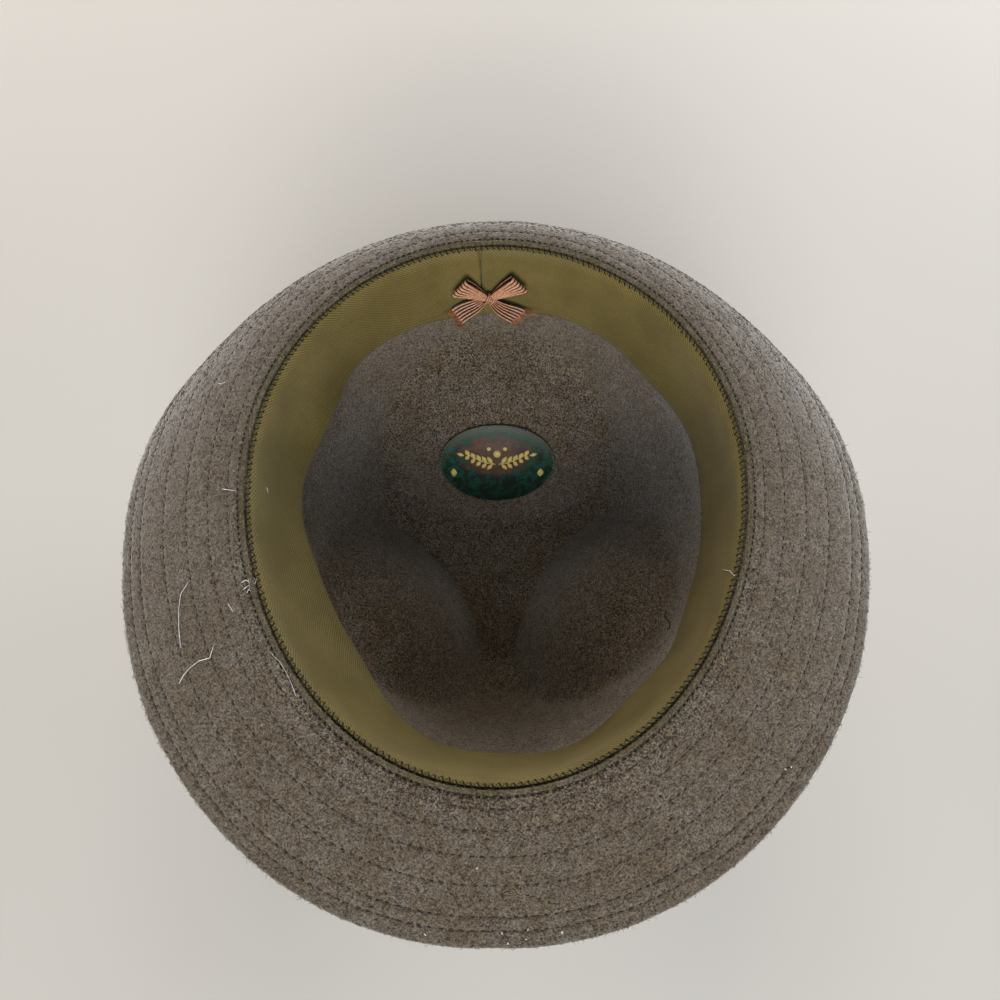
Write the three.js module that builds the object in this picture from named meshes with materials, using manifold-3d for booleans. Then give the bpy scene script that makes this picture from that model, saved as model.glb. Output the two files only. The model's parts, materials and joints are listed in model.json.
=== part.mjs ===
// Tyrolean hat of melange wool felt, lying on its crown with the opening up.
// Millimetres, +Z up, the back of the hat toward +Y, the wearer's right toward +X.
import * as THREE from 'three';
import { mergeVertices } from 'three/addons/utils/BufferGeometryUtils.js';
import Module from 'manifold-3d';

// Opening where crown and brim meet
const OPENING_WIDTH = 168;
const OPENING_LENGTH = 190;
const WIDEST_BEHIND_MIDDLE = 8;

// Felt body
const FELT_THICKNESS = 2.4;
const CROWN_HEIGHT = 106;
const BREAK_RADIUS = 2.5;
const BRIM_WIDTH = 43;
const DENT_SOFTNESS = 13;

// Ribbon sweatband
const BAND_HEIGHT = 34;
const BAND_THICKNESS = 0.9;
const BAND_STANDOFF = 10.5;
const BAND_TURN_OUT = 50;
const SEAM_GAP = 0.5;
const SEAM_LEFT_OF_BACK = 6.5;

// Ribbon bow on the back of the sweatband
const BOW_RIBBON_WIDTH = 10;
const BOW_GATHERED_WIDTH = 2;
const BOW_GATHERED_LENGTH = 3.4;
const BOW_RIBBON_THICKNESS = 0.7;
const BOW_LOOP_THICKNESS = 2.4;
const BOW_TIP_LIFT = 2.4;
const BOW_KNOT_WIDTH = 3;
const BOW_KNOT_WALL = 0.7;
const BOW_LEFT_OF_BACK = 3.5;
const BOW_BELOW_BREAK = 24;

// Oval label on the slope of the rear dent
const LABEL_WIDTH = 52;
const LABEL_LENGTH = 38;
const LABEL_THICKNESS = 0.8;
const LABEL_CENTRE_Y = 37;
const LABEL_TILT = 42;

// Clearances
const SEWN_GAP = 0.35;
const BOW_GAP = 0.65;
const LABEL_GAP = 0.5;
const KNOT_GAP = 0.35;

// Mesh fineness
const AROUND = 80;
const BRIM_ROWS = 7;
const BREAK_ROWS = 2;
const CROWN_ROWS = 20;
const BAND_COLUMNS = 64;
const LABEL_RINGS = 3;
const LABEL_SPOKES = 28;

// Crown section from the break to the tip: down as a share of the crown height, reach of the
// opening's half size; the tip's last rows lie past the floor and are pressed flat on it
const CROWN_SECTION = [
  { down: 0.0, reach: 1.0 },
  { down: 0.12, reach: 0.99 },
  { down: 0.25, reach: 0.972 },
  { down: 0.38, reach: 0.942 },
  { down: 0.5, reach: 0.893 },
  { down: 0.62, reach: 0.848 },
  { down: 0.73, reach: 0.8 },
  { down: 0.82, reach: 0.75 },
  { down: 0.9, reach: 0.69 },
  { down: 0.955, reach: 0.625 },
  { down: 0.99, reach: 0.555 },
  { down: 1.01, reach: 0.475 },
  { down: 1.02, reach: 0.36 },
  { down: 1.02, reach: 0.18 },
  { down: 1.02, reach: 0.0 },
];

// Dents pressed in from outside as ellipsoids: x and wide of the opening's half width,
// y and long of its half length, z and tall of the crown height
const DENTS = [
  { name: 'rear', x: 0.0, y: 1.03, z: -0.28, wide: 1.04, long: 0.87, tall: 0.8 },
  { name: 'left pinch', x: -1.16, y: -0.52, z: -0.24, wide: 1.1, long: 0.8, tall: 0.76 },
  { name: 'right pinch', x: 1.18, y: -0.5, z: -0.24, wide: 1.1, long: 0.86, tall: 0.76 },
];

// Brim by degrees from the front: width and roll as shares of the brim width, end slope in degrees
const BRIM_ROLL = [
  { fromFront: 0, width: 0.94, endSlope: 12, roll: 1.0 },
  { fromFront: 30, width: 0.99, endSlope: 10, roll: 1.0 },
  { fromFront: 60, width: 1.02, endSlope: 15, roll: 1.0 },
  { fromFront: 75, width: 1.0, endSlope: 23, roll: 1.0 },
  { fromFront: 90, width: 1.0, endSlope: 35, roll: 1.0 },
  { fromFront: 105, width: 1.0, endSlope: 53, roll: 1.0 },
  { fromFront: 120, width: 1.0, endSlope: 68, roll: 0.9 },
  { fromFront: 135, width: 1.0, endSlope: 75, roll: 0.74 },
  { fromFront: 150, width: 1.0, endSlope: 78, roll: 0.56 },
  { fromFront: 165, width: 1.0, endSlope: 79, roll: 0.44 },
  { fromFront: 180, width: 1.0, endSlope: 79, roll: 0.42 },
];

// Stand-off of the sweatband's free edge by degrees from the right side, as a share of the largest
const BAND_WAVE = [
  { at: 0, standoff: 0.07 },
  { at: 18, standoff: 0.0 },
  { at: 40, standoff: 0.24 },
  { at: 54, standoff: 0.07 },
  { at: 70, standoff: 0.0 },
  { at: 84, standoff: 0.1 },
  { at: 98, standoff: 0.25 },
  { at: 114, standoff: 0.15 },
  { at: 130, standoff: 0.09 },
  { at: 141, standoff: 0.27 },
  { at: 152, standoff: 0.64 },
  { at: 163, standoff: 0.68 },
  { at: 176, standoff: 0.46 },
  { at: 186, standoff: 0.52 },
  { at: 198, standoff: 0.84 },
  { at: 212, standoff: 1.0 },
  { at: 224, standoff: 1.0 },
  { at: 238, standoff: 0.64 },
  { at: 252, standoff: 0.35 },
  { at: 272, standoff: 0.32 },
  { at: 288, standoff: 0.05 },
  { at: 310, standoff: 0.22 },
  { at: 322, standoff: 0.04 },
  { at: 334, standoff: 0.16 },
  { at: 348, standoff: 0.08 },
];

// Rows of the sweatband from the sewn edge to the free edge, as shares of its height
const BAND_ROWS = [0, 0.07, 0.14, 0.4, 0.7, 1];

// Bow arms by direction in degrees from the right, length in shares of the bow ribbon's width
const BOW_ARMS = [
  { kind: 'loop', direction: 39, length: 1.58 },
  { kind: 'loop', direction: 142, length: 1.48 },
  { kind: 'tail', direction: 211, length: 1.6 },
  { kind: 'tail', direction: 317, length: 1.6 },
];

const halfWidth = OPENING_WIDTH / 2 + FELT_THICKNESS;
const halfLength = OPENING_LENGTH / 2 + FELT_THICKNESS;
const breakHeight = CROWN_HEIGHT;
const pole = new THREE.Vector3(0, WIDEST_BEHIND_MIDDLE / 2, CROWN_HEIGHT);

const felt = new THREE.MeshStandardMaterial({ color: 0x5e564b, roughness: 0.97, metalness: 0 });
const grosgrain = new THREE.MeshStandardMaterial({ color: 0x5c4f2c, roughness: 0.75, metalness: 0 });
const bowRibbon = new THREE.MeshStandardMaterial({ color: 0xa46a48, roughness: 0.6, metalness: 0 });
const bowWrap = new THREE.MeshStandardMaterial({ color: 0x8f5a3d, roughness: 0.6, metalness: 0 });
const labelCloth = new THREE.MeshStandardMaterial({ color: 0x234034, roughness: 0.5, metalness: 0.1 });

// Smooth curve through one column of a table
function tableCurve(rows, key, value) {
  const keys = rows.map((row) => row[key]);
  const values = rows.map((row) => row[value]);
  const curve = new THREE.CubicInterpolant(keys, values, 1);
  return (at) => curve.evaluate(THREE.MathUtils.clamp(at, keys[0], keys[keys.length - 1]))[0];
}

// The same for a table that runs right round, with its ends repeated past a full turn
function roundCurve(rows, key, value) {
  const turn = 360;
  const before = rows.slice(-2).map((row) => ({ ...row, [key]: row[key] - turn }));
  const after = rows.slice(0, 2).map((row) => ({ ...row, [key]: row[key] + turn }));
  const curve = tableCurve([...before, ...rows, ...after], key, value);
  return (degrees) => curve(THREE.MathUtils.euclideanModulo(degrees, turn));
}

const lastStation = CROWN_SECTION.length - 1;
const crownStations = CROWN_SECTION.map((row, index) => ({ ...row, station: index / lastStation }));
const crownDown = tableCurve(crownStations, 'station', 'down');
const crownReach = tableCurve(crownStations, 'station', 'reach');
const brimEndSlope = tableCurve(BRIM_ROLL, 'fromFront', 'endSlope');
const brimRollShare = tableCurve(BRIM_ROLL, 'fromFront', 'roll');
const brimWidthShare = tableCurve(BRIM_ROLL, 'fromFront', 'width');
const bandWave = roundCurve(BAND_WAVE, 'at', 'standoff');

// Half length of the oval on the side that an angle lies on, front shorter or longer than the back
function ovalLength(angle) {
  const shift = Math.sin(angle) < 0 ? WIDEST_BEHIND_MIDDLE : -WIDEST_BEHIND_MIDDLE;
  return halfLength + shift;
}

// Point of the opening's oval, scaled toward its widest place
function ovalPoint(angle, reach, z) {
  const x = halfWidth * reach * Math.cos(angle);
  const y = WIDEST_BEHIND_MIDDLE + ovalLength(angle) * reach * Math.sin(angle);
  return new THREE.Vector3(x, y, z);
}

// Outward direction of the oval in plan
function ovalNormal(angle) {
  return new THREE.Vector3(ovalLength(angle) * Math.cos(angle), halfWidth * Math.sin(angle), 0).normalize();
}

// Distance along a ray from the pole at which it meets a dent's ellipsoid
function dentDistance(dent, direction) {
  const size = new THREE.Vector3(dent.wide * halfWidth, dent.long * halfLength, dent.tall * CROWN_HEIGHT);
  const centre = new THREE.Vector3(dent.x * halfWidth, dent.y * halfLength, dent.z * CROWN_HEIGHT);
  const start = pole.clone().sub(centre).divide(size);
  const step = direction.clone().divide(size);
  const a = step.dot(step);
  const b = start.dot(step);
  const c = start.dot(start) - 1;
  const inside = b * b - a * c;
  return inside <= 0 ? Infinity : (-b - Math.sqrt(inside)) / a;
}

// Lesser of two lengths, with a rounded corner between them
function softLesser(one, other, softness) {
  const overlap = Math.max(softness - Math.abs(one - other), 0) / softness;
  return Math.min(one, other) - (overlap * overlap * softness) / 4;
}

// Outer face of the crown at a station between the break (0) and the middle of the tip (1)
function crownPoint(angle, station) {
  const z = (breakHeight - BREAK_RADIUS) * (1 - crownDown(station));
  const base = ovalPoint(angle, Math.max(crownReach(station), 0), z);
  const direction = base.clone().sub(pole);
  const plain = direction.length();
  direction.normalize();
  let reached = plain;
  for (const dent of DENTS) {
    const distance = dentDistance(dent, direction);
    if (distance < Infinity) {
      reached = softLesser(reached, distance, DENT_SOFTNESS);
    }
  }
  const point = pole.clone().addScaledVector(direction, reached);
  point.z = Math.max(point.z, 0);
  return point;
}

// Outer face of the small round where crown turns into brim
function breakPoint(angle, share) {
  const bend = (share * Math.PI) / 2;
  const point = ovalPoint(angle, 1, breakHeight - BREAK_RADIUS + BREAK_RADIUS * Math.sin(bend));
  return point.addScaledVector(ovalNormal(angle), BREAK_RADIUS * (1 - Math.cos(bend)));
}

// Outer face of the brim at a share of its width, rolling down toward the crown
function brimPoint(angle, share) {
  const degrees = THREE.MathUtils.radToDeg(angle);
  const fromFront = Math.abs(THREE.MathUtils.euclideanModulo(degrees + 270, 360) - 180);
  const endSlope = THREE.MathUtils.degToRad(brimEndSlope(fromFront));
  const rollLength = BRIM_WIDTH * brimRollShare(fromFront);
  const radius = rollLength / endSlope;
  const along = BRIM_WIDTH * brimWidthShare(fromFront) * share;
  const slope = endSlope * Math.min(along / rollLength, 1);
  const straight = Math.max(along - rollLength, 0);
  const out = radius * Math.sin(slope) + straight * Math.cos(slope);
  const drop = radius * (1 - Math.cos(slope)) + straight * Math.sin(slope);
  const point = breakPoint(angle, 1).addScaledVector(ovalNormal(angle), out);
  point.z -= drop;
  return point;
}

// Ring of points at one row, run from the tip to the brim's edge
function feltRow(row) {
  const points = [];
  for (let column = 0; column < AROUND; column += 1) {
    const angle = (column / AROUND) * Math.PI * 2;
    if (row < CROWN_ROWS) {
      points.push(crownPoint(angle, 1 - (row + 1) / CROWN_ROWS));
    } else if (row < CROWN_ROWS + BREAK_ROWS) {
      points.push(breakPoint(angle, (row + 1 - CROWN_ROWS) / (BREAK_ROWS + 1)));
    } else {
      points.push(brimPoint(angle, (row - CROWN_ROWS - BREAK_ROWS) / BRIM_ROWS));
    }
  }
  return points;
}

// Triangles between two rings that hold the same number of points
function ringFaces(first, second, count, closed) {
  const faces = [];
  const spans = closed ? count : count - 1;
  for (let i = 0; i < spans; i += 1) {
    const next = (i + 1) % count;
    faces.push(first + i, first + next, second + next);
    faces.push(first + i, second + next, second + i);
  }
  return faces;
}

// Geometry from points and triangle corners
function geometryFrom(points, faces) {
  const geometry = new THREE.BufferGeometry();
  const flat = points.flatMap((point) => [point.x, point.y, point.z]);
  geometry.setAttribute('position', new THREE.Float32BufferAttribute(flat, 3));
  geometry.setIndex(faces);
  return geometry;
}

// Felt body: one sheet from tip to brim edge, thickened toward the wearer's head
function feltGeometry() {
  const rows = CROWN_ROWS + BREAK_ROWS + BRIM_ROWS + 1;
  const outer = [crownPoint(0, 1)];
  for (let row = 0; row < rows; row += 1) {
    outer.push(...feltRow(row));
  }
  const faces = [];
  for (let column = 0; column < AROUND; column += 1) {
    faces.push(0, 1 + ((column + 1) % AROUND), 1 + column);
  }
  for (let row = 0; row + 1 < rows; row += 1) {
    faces.push(...ringFaces(1 + row * AROUND, 1 + (row + 1) * AROUND, AROUND, true));
  }
  const sheet = geometryFrom(outer, faces);
  sheet.computeVertexNormals();
  const normals = sheet.getAttribute('normal');
  const inner = outer.map((point, index) => {
    const normal = new THREE.Vector3().fromBufferAttribute(normals, index);
    return point.clone().addScaledVector(normal, -FELT_THICKNESS);
  });
  const count = outer.length;
  const innerFaces = [];
  for (let i = 0; i < faces.length; i += 3) {
    innerFaces.push(count + faces[i], count + faces[i + 2], count + faces[i + 1]);
  }
  const edge = count - AROUND;
  const edgeFaces = ringFaces(edge, count + edge, AROUND, true);
  return geometryFrom([...outer, ...inner], [...faces, ...innerFaces, ...edgeFaces]);
}

// Reach of the plain crown wall at a share of the crown height below the break
const wallReach = tableCurve(CROWN_SECTION.slice(0, 6), 'down', 'reach');

// Face of the sweatband at a share of its height: out over the break, then down the crown wall
function bandPoint(angle, share, depth) {
  const along = share * BAND_HEIGHT;
  const turned = THREE.MathUtils.degToRad(BAND_TURN_OUT);
  const radius = BREAK_RADIUS + FELT_THICKNESS + SEWN_GAP;
  const bend = Math.max(turned - along / radius, 0);
  const below = Math.max(along - turned * radius, 0);
  const standoff = BAND_STANDOFF * bandWave(THREE.MathUtils.radToDeg(angle)) * share * share;
  const springLine = breakHeight - BREAK_RADIUS;
  const z = springLine + (radius + depth) * Math.sin(bend) - below;
  const out = BREAK_RADIUS - (radius + depth) * Math.cos(bend) - standoff;
  return ovalPoint(angle, wallReach(below / springLine), z).addScaledVector(ovalNormal(angle), out);
}

// Sweatband: one strip of ribbon round the opening, its ends meeting at the back seam
function bandGeometry() {
  const seam = Math.PI / 2 + SEAM_LEFT_OF_BACK / halfWidth;
  const gap = SEAM_GAP / halfWidth;
  const points = [];
  for (let column = 0; column < BAND_COLUMNS; column += 1) {
    const share = column / (BAND_COLUMNS - 1);
    const angle = seam + gap / 2 + share * (Math.PI * 2 - gap);
    const back = BAND_ROWS.map((row) => bandPoint(angle, row, 0));
    const front = BAND_ROWS.map((row) => bandPoint(angle, row, BAND_THICKNESS));
    points.push(...back, ...front.reverse());
  }
  const loop = BAND_ROWS.length * 2;
  const faces = [];
  for (let column = 0; column + 1 < BAND_COLUMNS; column += 1) {
    faces.push(...ringFaces(column * loop, (column + 1) * loop, loop, true));
  }
  const last = (BAND_COLUMNS - 1) * loop;
  for (let row = 0; row + 1 < BAND_ROWS.length; row += 1) {
    const mate = loop - 1 - row;
    faces.push(row, mate - 1, row + 1, row, mate, mate - 1);
    faces.push(last + row, last + row + 1, last + mate - 1, last + row, last + mate - 1, last + mate);
  }
  return geometryFrom(points, faces);
}

// Thickness of a bow arm where it is gathered: a loop has two layers, a tail one
function rootThickness(kind) {
  return kind === 'loop' ? BOW_RIBBON_THICKNESS * 2 : BOW_RIBBON_THICKNESS;
}

// Outline of one bow arm seen edge on, past its gathered root: a folded loop or a single tail
function armOutline(kind, length) {
  const outline = new THREE.Shape();
  outline.moveTo(BOW_GATHERED_LENGTH, 0);
  if (kind === 'loop') {
    const half = BOW_LOOP_THICKNESS / 2;
    const turn = length - half;
    outline.lineTo(turn, 0);
    outline.absarc(turn, half, half, -Math.PI / 2, Math.PI / 2, false);
    outline.lineTo(BOW_GATHERED_LENGTH, rootThickness(kind));
    const hole = new THREE.Path();
    hole.moveTo(BOW_GATHERED_LENGTH * 2, BOW_RIBBON_THICKNESS);
    hole.lineTo(turn, BOW_RIBBON_THICKNESS);
    hole.absarc(turn, half, half - BOW_RIBBON_THICKNESS, -Math.PI / 2, Math.PI / 2, false);
    outline.holes.push(hole);
  } else {
    outline.lineTo(length, 0);
    outline.lineTo(length, BOW_RIBBON_THICKNESS);
    outline.lineTo(BOW_GATHERED_LENGTH, BOW_RIBBON_THICKNESS);
  }
  return outline;
}

// One arm, flat in XY and pointing along its direction, widening and lifting toward its end
function armGeometry(arm) {
  const length = arm.length * BOW_RIBBON_WIDTH;
  const outline = armOutline(arm.kind, length);
  const extrusion = { depth: 1, steps: 1, bevelEnabled: false, curveSegments: 3 };
  const geometry = new THREE.ExtrudeGeometry(outline, extrusion);
  const position = geometry.getAttribute('position');
  for (let i = 0; i < position.count; i += 1) {
    const along = position.getX(i);
    const share = (along - BOW_GATHERED_LENGTH) / (length - BOW_GATHERED_LENGTH);
    const width = THREE.MathUtils.lerp(BOW_GATHERED_WIDTH, BOW_RIBBON_WIDTH, share);
    const up = position.getY(i) + BOW_TIP_LIFT * share * share;
    position.setXYZ(i, along, (0.5 - position.getZ(i)) * width, up);
  }
  geometry.rotateZ(THREE.MathUtils.degToRad(arm.direction));
  return geometry;
}

// Gathered root of one arm, from the middle of the bow
function rootGeometry(arm) {
  const thickness = rootThickness(arm.kind);
  const geometry = new THREE.BoxGeometry(BOW_GATHERED_LENGTH, BOW_GATHERED_WIDTH, thickness);
  geometry.translate(BOW_GATHERED_LENGTH / 2, 0, thickness / 2);
  geometry.rotateZ(THREE.MathUtils.degToRad(arm.direction));
  return geometry;
}

const wasm = await Module();
wasm.setup();

// Solid for joining, from a closed mesh
function toSolid(geometry) {
  geometry.deleteAttribute('normal');
  geometry.deleteAttribute('uv');
  const merged = mergeVertices(geometry, 1e-4);
  const vertProperties = new Float32Array(merged.getAttribute('position').array);
  const triVerts = new Uint32Array(merged.getIndex().array);
  return new wasm.Manifold(new wasm.Mesh({ numProp: 3, vertProperties, triVerts }));
}

// Mesh geometry from a joined solid
function fromSolid(solid) {
  const mesh = solid.getMesh();
  const geometry = new THREE.BufferGeometry();
  geometry.setAttribute('position', new THREE.Float32BufferAttribute(mesh.vertProperties, 3));
  geometry.setIndex(Array.from(mesh.triVerts));
  return geometry;
}

// Bow ribbon: two loops and two tails gathered in one place
function bowRibbonGeometry() {
  const radius = BOW_GATHERED_WIDTH / 2;
  const core = new THREE.CylinderGeometry(radius, radius, BOW_RIBBON_THICKNESS * 2, 12);
  core.rotateX(Math.PI / 2);
  core.translate(0, 0, BOW_RIBBON_THICKNESS);
  let solid = toSolid(core);
  for (const arm of BOW_ARMS) {
    solid = solid.add(toSolid(rootGeometry(arm))).add(toSolid(armGeometry(arm)));
  }
  return fromSolid(solid);
}

// Half height of the gathered arms where they leave the knot
function gatheredHalfHeight() {
  const half = BOW_GATHERED_WIDTH / 2;
  const heights = BOW_ARMS.map((arm) => {
    const direction = THREE.MathUtils.degToRad(arm.direction);
    const slope = Math.abs(Math.tan(direction));
    return (BOW_KNOT_WIDTH / 2) * slope + half / Math.abs(Math.cos(direction));
  });
  return Math.max(...heights);
}

// Rectangle outline centred on the origin
function rectangle(width, height, Kind) {
  const shape = new Kind();
  shape.moveTo(-width / 2, -height / 2);
  shape.lineTo(width / 2, -height / 2);
  shape.lineTo(width / 2, height / 2);
  shape.lineTo(-width / 2, height / 2);
  shape.closePath();
  return shape;
}

// Knot: a narrow ribbon wrapped round the gathered middle
function bowKnotGeometry() {
  const holeHeight = (gatheredHalfHeight() + KNOT_GAP) * 2;
  const holeDepth = BOW_LOOP_THICKNESS + KNOT_GAP * 2;
  const wrap = rectangle(holeDepth + BOW_KNOT_WALL * 2, holeHeight + BOW_KNOT_WALL * 2, THREE.Shape);
  wrap.holes.push(rectangle(holeDepth, holeHeight, THREE.Path));
  const geometry = new THREE.ExtrudeGeometry(wrap, { depth: BOW_KNOT_WIDTH, steps: 1, bevelEnabled: false });
  geometry.translate(0, 0, -BOW_KNOT_WIDTH / 2);
  geometry.rotateY(Math.PI / 2);
  return geometry;
}

// Label: an oval patch laid on the felt from its own side
function labelGeometry(feltMesh) {
  const caster = new THREE.Raycaster();
  const tilt = new THREE.Quaternion();
  tilt.setFromAxisAngle(new THREE.Vector3(1, 0, 0), THREE.MathUtils.degToRad(LABEL_TILT));
  const toward = new THREE.Vector3(0, 0, -1).applyQuaternion(tilt);
  caster.set(new THREE.Vector3(0, LABEL_CENTRE_Y, CROWN_HEIGHT), new THREE.Vector3(0, 0, -1));
  const centre = caster.intersectObject(feltMesh)[0].point;
  const place = (angle, share) => {
    const spot = new THREE.Vector3(LABEL_WIDTH * Math.cos(angle), LABEL_LENGTH * Math.sin(angle), 0);
    spot.multiplyScalar(share / 2).applyQuaternion(tilt).add(centre);
    spot.addScaledVector(toward, -LABEL_WIDTH / 2);
    caster.set(spot, toward);
    const hit = caster.intersectObject(feltMesh)[0];
    return { point: hit.point, normal: hit.face.normal };
  };
  const placed = [place(0, 0)];
  for (let ring = 1; ring <= LABEL_RINGS; ring += 1) {
    for (let spoke = 0; spoke < LABEL_SPOKES; spoke += 1) {
      placed.push(place((spoke / LABEL_SPOKES) * Math.PI * 2, ring / LABEL_RINGS));
    }
  }
  const faces = [];
  for (let spoke = 0; spoke < LABEL_SPOKES; spoke += 1) {
    faces.push(0, 1 + spoke, 1 + ((spoke + 1) % LABEL_SPOKES));
  }
  for (let ring = 0; ring + 1 < LABEL_RINGS; ring += 1) {
    faces.push(...ringFaces(1 + (ring + 1) * LABEL_SPOKES, 1 + ring * LABEL_SPOKES, LABEL_SPOKES, true));
  }
  const sheet = geometryFrom(placed.map((item) => item.point), faces);
  sheet.computeVertexNormals();
  const normals = sheet.getAttribute('normal');
  const lifted = (height) => placed.map((item, index) => {
    const normal = new THREE.Vector3().fromBufferAttribute(normals, index);
    return item.point.clone().addScaledVector(normal, height);
  });
  const top = lifted(LABEL_GAP + LABEL_THICKNESS);
  const bottom = lifted(LABEL_GAP);
  const count = top.length;
  const bottomFaces = [];
  for (let i = 0; i < faces.length; i += 3) {
    bottomFaces.push(count + faces[i], count + faces[i + 2], count + faces[i + 1]);
  }
  const edge = count - LABEL_SPOKES;
  const edgeFaces = ringFaces(count + edge, edge, LABEL_SPOKES, true);
  return geometryFrom([...top, ...bottom], [...faces, ...bottomFaces, ...edgeFaces]);
}

// Named mesh with its material
function part(name, geometry, material) {
  const mesh = new THREE.Mesh(geometry, material);
  mesh.name = name;
  return mesh;
}

// Bow group: seated on the sweatband's inner face at the back
function bow() {
  const group = new THREE.Group();
  const angle = Math.PI / 2 + BOW_LEFT_OF_BACK / halfWidth;
  const share = BOW_BELOW_BREAK / BAND_HEIGHT;
  const seat = bandPoint(angle, share, BAND_THICKNESS);
  const above = bandPoint(angle, share - 0.1, BAND_THICKNESS);
  const up = above.clone().sub(seat).normalize();
  const out = ovalNormal(angle).negate();
  const across = new THREE.Vector3().crossVectors(up, out).normalize();
  out.crossVectors(across, up).normalize();
  group.quaternion.setFromRotationMatrix(new THREE.Matrix4().makeBasis(across, up, out));
  const knotDepth = BOW_LOOP_THICKNESS + KNOT_GAP * 2 + BOW_KNOT_WALL * 2;
  group.position.copy(seat).addScaledVector(out, BOW_GAP + knotDepth / 2);
  const ribbon = part('bow_ribbon', bowRibbonGeometry(), bowRibbon);
  ribbon.position.z = -BOW_RIBBON_THICKNESS;
  group.add(ribbon);
  group.add(part('bow_knot', bowKnotGeometry(), bowWrap));
  return group;
}

const hat = new THREE.Group();
const body = part('felt_body', feltGeometry(), felt);
hat.add(body);
hat.add(part('sweatband', bandGeometry(), grosgrain));
hat.add(bow());
hat.add(part('label', labelGeometry(body), labelCloth));

// The middle of the hat's outline stands over the origin
const outline = new THREE.Box3().setFromObject(body);
hat.position.y = -(outline.min.y + outline.max.y) / 2;

export default hat;
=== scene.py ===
# %% [markdown]
# # A tyrolean hat, lying on its crown
# The hat is one blocked piece of melange wool felt. Its crown has three dents, its brim rolls
# up at the back and runs nearly flat in front. A ribbon sweatband is sewn into the opening, a
# little bow sits on the band, and an oval label is glued to the slope of the rear dent.
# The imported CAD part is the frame: every piece here lies where its CAD solid lies.

# %% Load the frame
import json
import math
import random

import bpy
import numpy as np
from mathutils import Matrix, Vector, noise
from mathutils.bvhtree import BVHTree

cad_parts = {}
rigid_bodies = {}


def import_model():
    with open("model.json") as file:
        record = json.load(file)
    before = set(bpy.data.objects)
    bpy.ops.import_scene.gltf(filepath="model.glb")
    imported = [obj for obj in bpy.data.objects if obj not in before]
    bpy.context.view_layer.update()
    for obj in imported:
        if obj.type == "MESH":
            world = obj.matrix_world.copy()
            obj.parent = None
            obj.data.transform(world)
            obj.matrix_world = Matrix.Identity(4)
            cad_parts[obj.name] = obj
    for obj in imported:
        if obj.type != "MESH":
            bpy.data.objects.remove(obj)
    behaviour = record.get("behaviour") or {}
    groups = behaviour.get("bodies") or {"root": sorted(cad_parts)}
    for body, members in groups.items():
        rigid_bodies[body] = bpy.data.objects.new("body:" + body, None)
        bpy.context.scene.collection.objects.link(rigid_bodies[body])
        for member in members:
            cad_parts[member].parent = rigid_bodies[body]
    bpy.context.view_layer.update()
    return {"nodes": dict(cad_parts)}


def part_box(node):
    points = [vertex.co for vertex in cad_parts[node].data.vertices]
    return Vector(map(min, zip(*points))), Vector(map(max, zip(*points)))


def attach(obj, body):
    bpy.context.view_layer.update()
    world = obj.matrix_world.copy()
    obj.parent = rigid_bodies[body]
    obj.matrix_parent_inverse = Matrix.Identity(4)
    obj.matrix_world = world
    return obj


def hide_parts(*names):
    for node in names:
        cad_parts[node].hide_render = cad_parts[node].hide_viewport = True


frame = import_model()
print("nodes:", sorted(frame["nodes"]))

# %% [markdown]
# ## The camera
# The photograph looks down into the hat from the front, at 72 degrees. It was taken from close
# by, so the near brim looks larger than the far one. Only a wide lens at the real distance
# gives that, so both come from the photograph: a long lens from far away would not match.

# %% Camera
PHOTO_SIZE = 1000
SENSOR_WIDTH = 36.0
FOCAL_PIXELS = 752.0
CAMERA_ELEVATION = math.radians(72)
CAMERA_DISTANCE = 0.2545
CAMERA_AIM = Vector((0.00135, 0.00501, 0.1084))

camera_back = Vector((0, -math.cos(CAMERA_ELEVATION), math.sin(CAMERA_ELEVATION)))
camera_up = Vector((0, math.sin(CAMERA_ELEVATION), math.cos(CAMERA_ELEVATION)))
camera_place = CAMERA_AIM + camera_back * CAMERA_DISTANCE
bpy.ops.object.camera_add(location=camera_place)
camera = bpy.context.object
camera.name = "photo_camera"
camera.rotation_euler = camera_back.to_track_quat("Z", "Y").to_euler()
camera.data.sensor_width = SENSOR_WIDTH
camera.data.lens = SENSOR_WIDTH * FOCAL_PIXELS / PHOTO_SIZE
camera.data.clip_start = 0.01
bpy.context.scene.camera = camera
print("camera at", [round(value, 4) for value in camera_place], "lens", round(camera.data.lens, 2))


def pixel_ray(x, y):
    """Direction from the camera through a pixel of the photograph."""
    half = PHOTO_SIZE / 2
    right = Vector((1, 0, 0)) * ((x - half) / FOCAL_PIXELS)
    up = camera_up * ((half - y) / FOCAL_PIXELS)
    return (right + up - camera_back).normalized()


# %% [markdown]
# ## Floor and light
# The floor is a plain pale sheet. Felt shows its shape only through soft shade, so the lights
# are six large panels: two high ones, in front and behind, and four low ones that reach under
# the brim and into the dents. A weak pale world fills the shadows.

# %% Helper for node trees
def node(tree, kind, inputs=None, **settings):
    """A new node with its settings, and its inputs set to values or linked from sockets."""
    made = tree.nodes.new(kind)
    for key, value in settings.items():
        setattr(made, key, value)
    for key, value in (inputs or {}).items():
        if isinstance(value, bpy.types.NodeSocket):
            tree.links.new(value, made.inputs[key])
        else:
            made.inputs[key].default_value = value
    return made


def colour(red, green, blue):
    """A colour as it is seen on a screen, from 0 to 255, as Blender's linear light."""
    linear = []
    for value in (red, green, blue):
        share = value / 255
        linear.append(share / 12.92 if share <= 0.04045 else ((share + 0.055) / 1.055) ** 2.4)
    return (*linear, 1.0)


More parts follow.
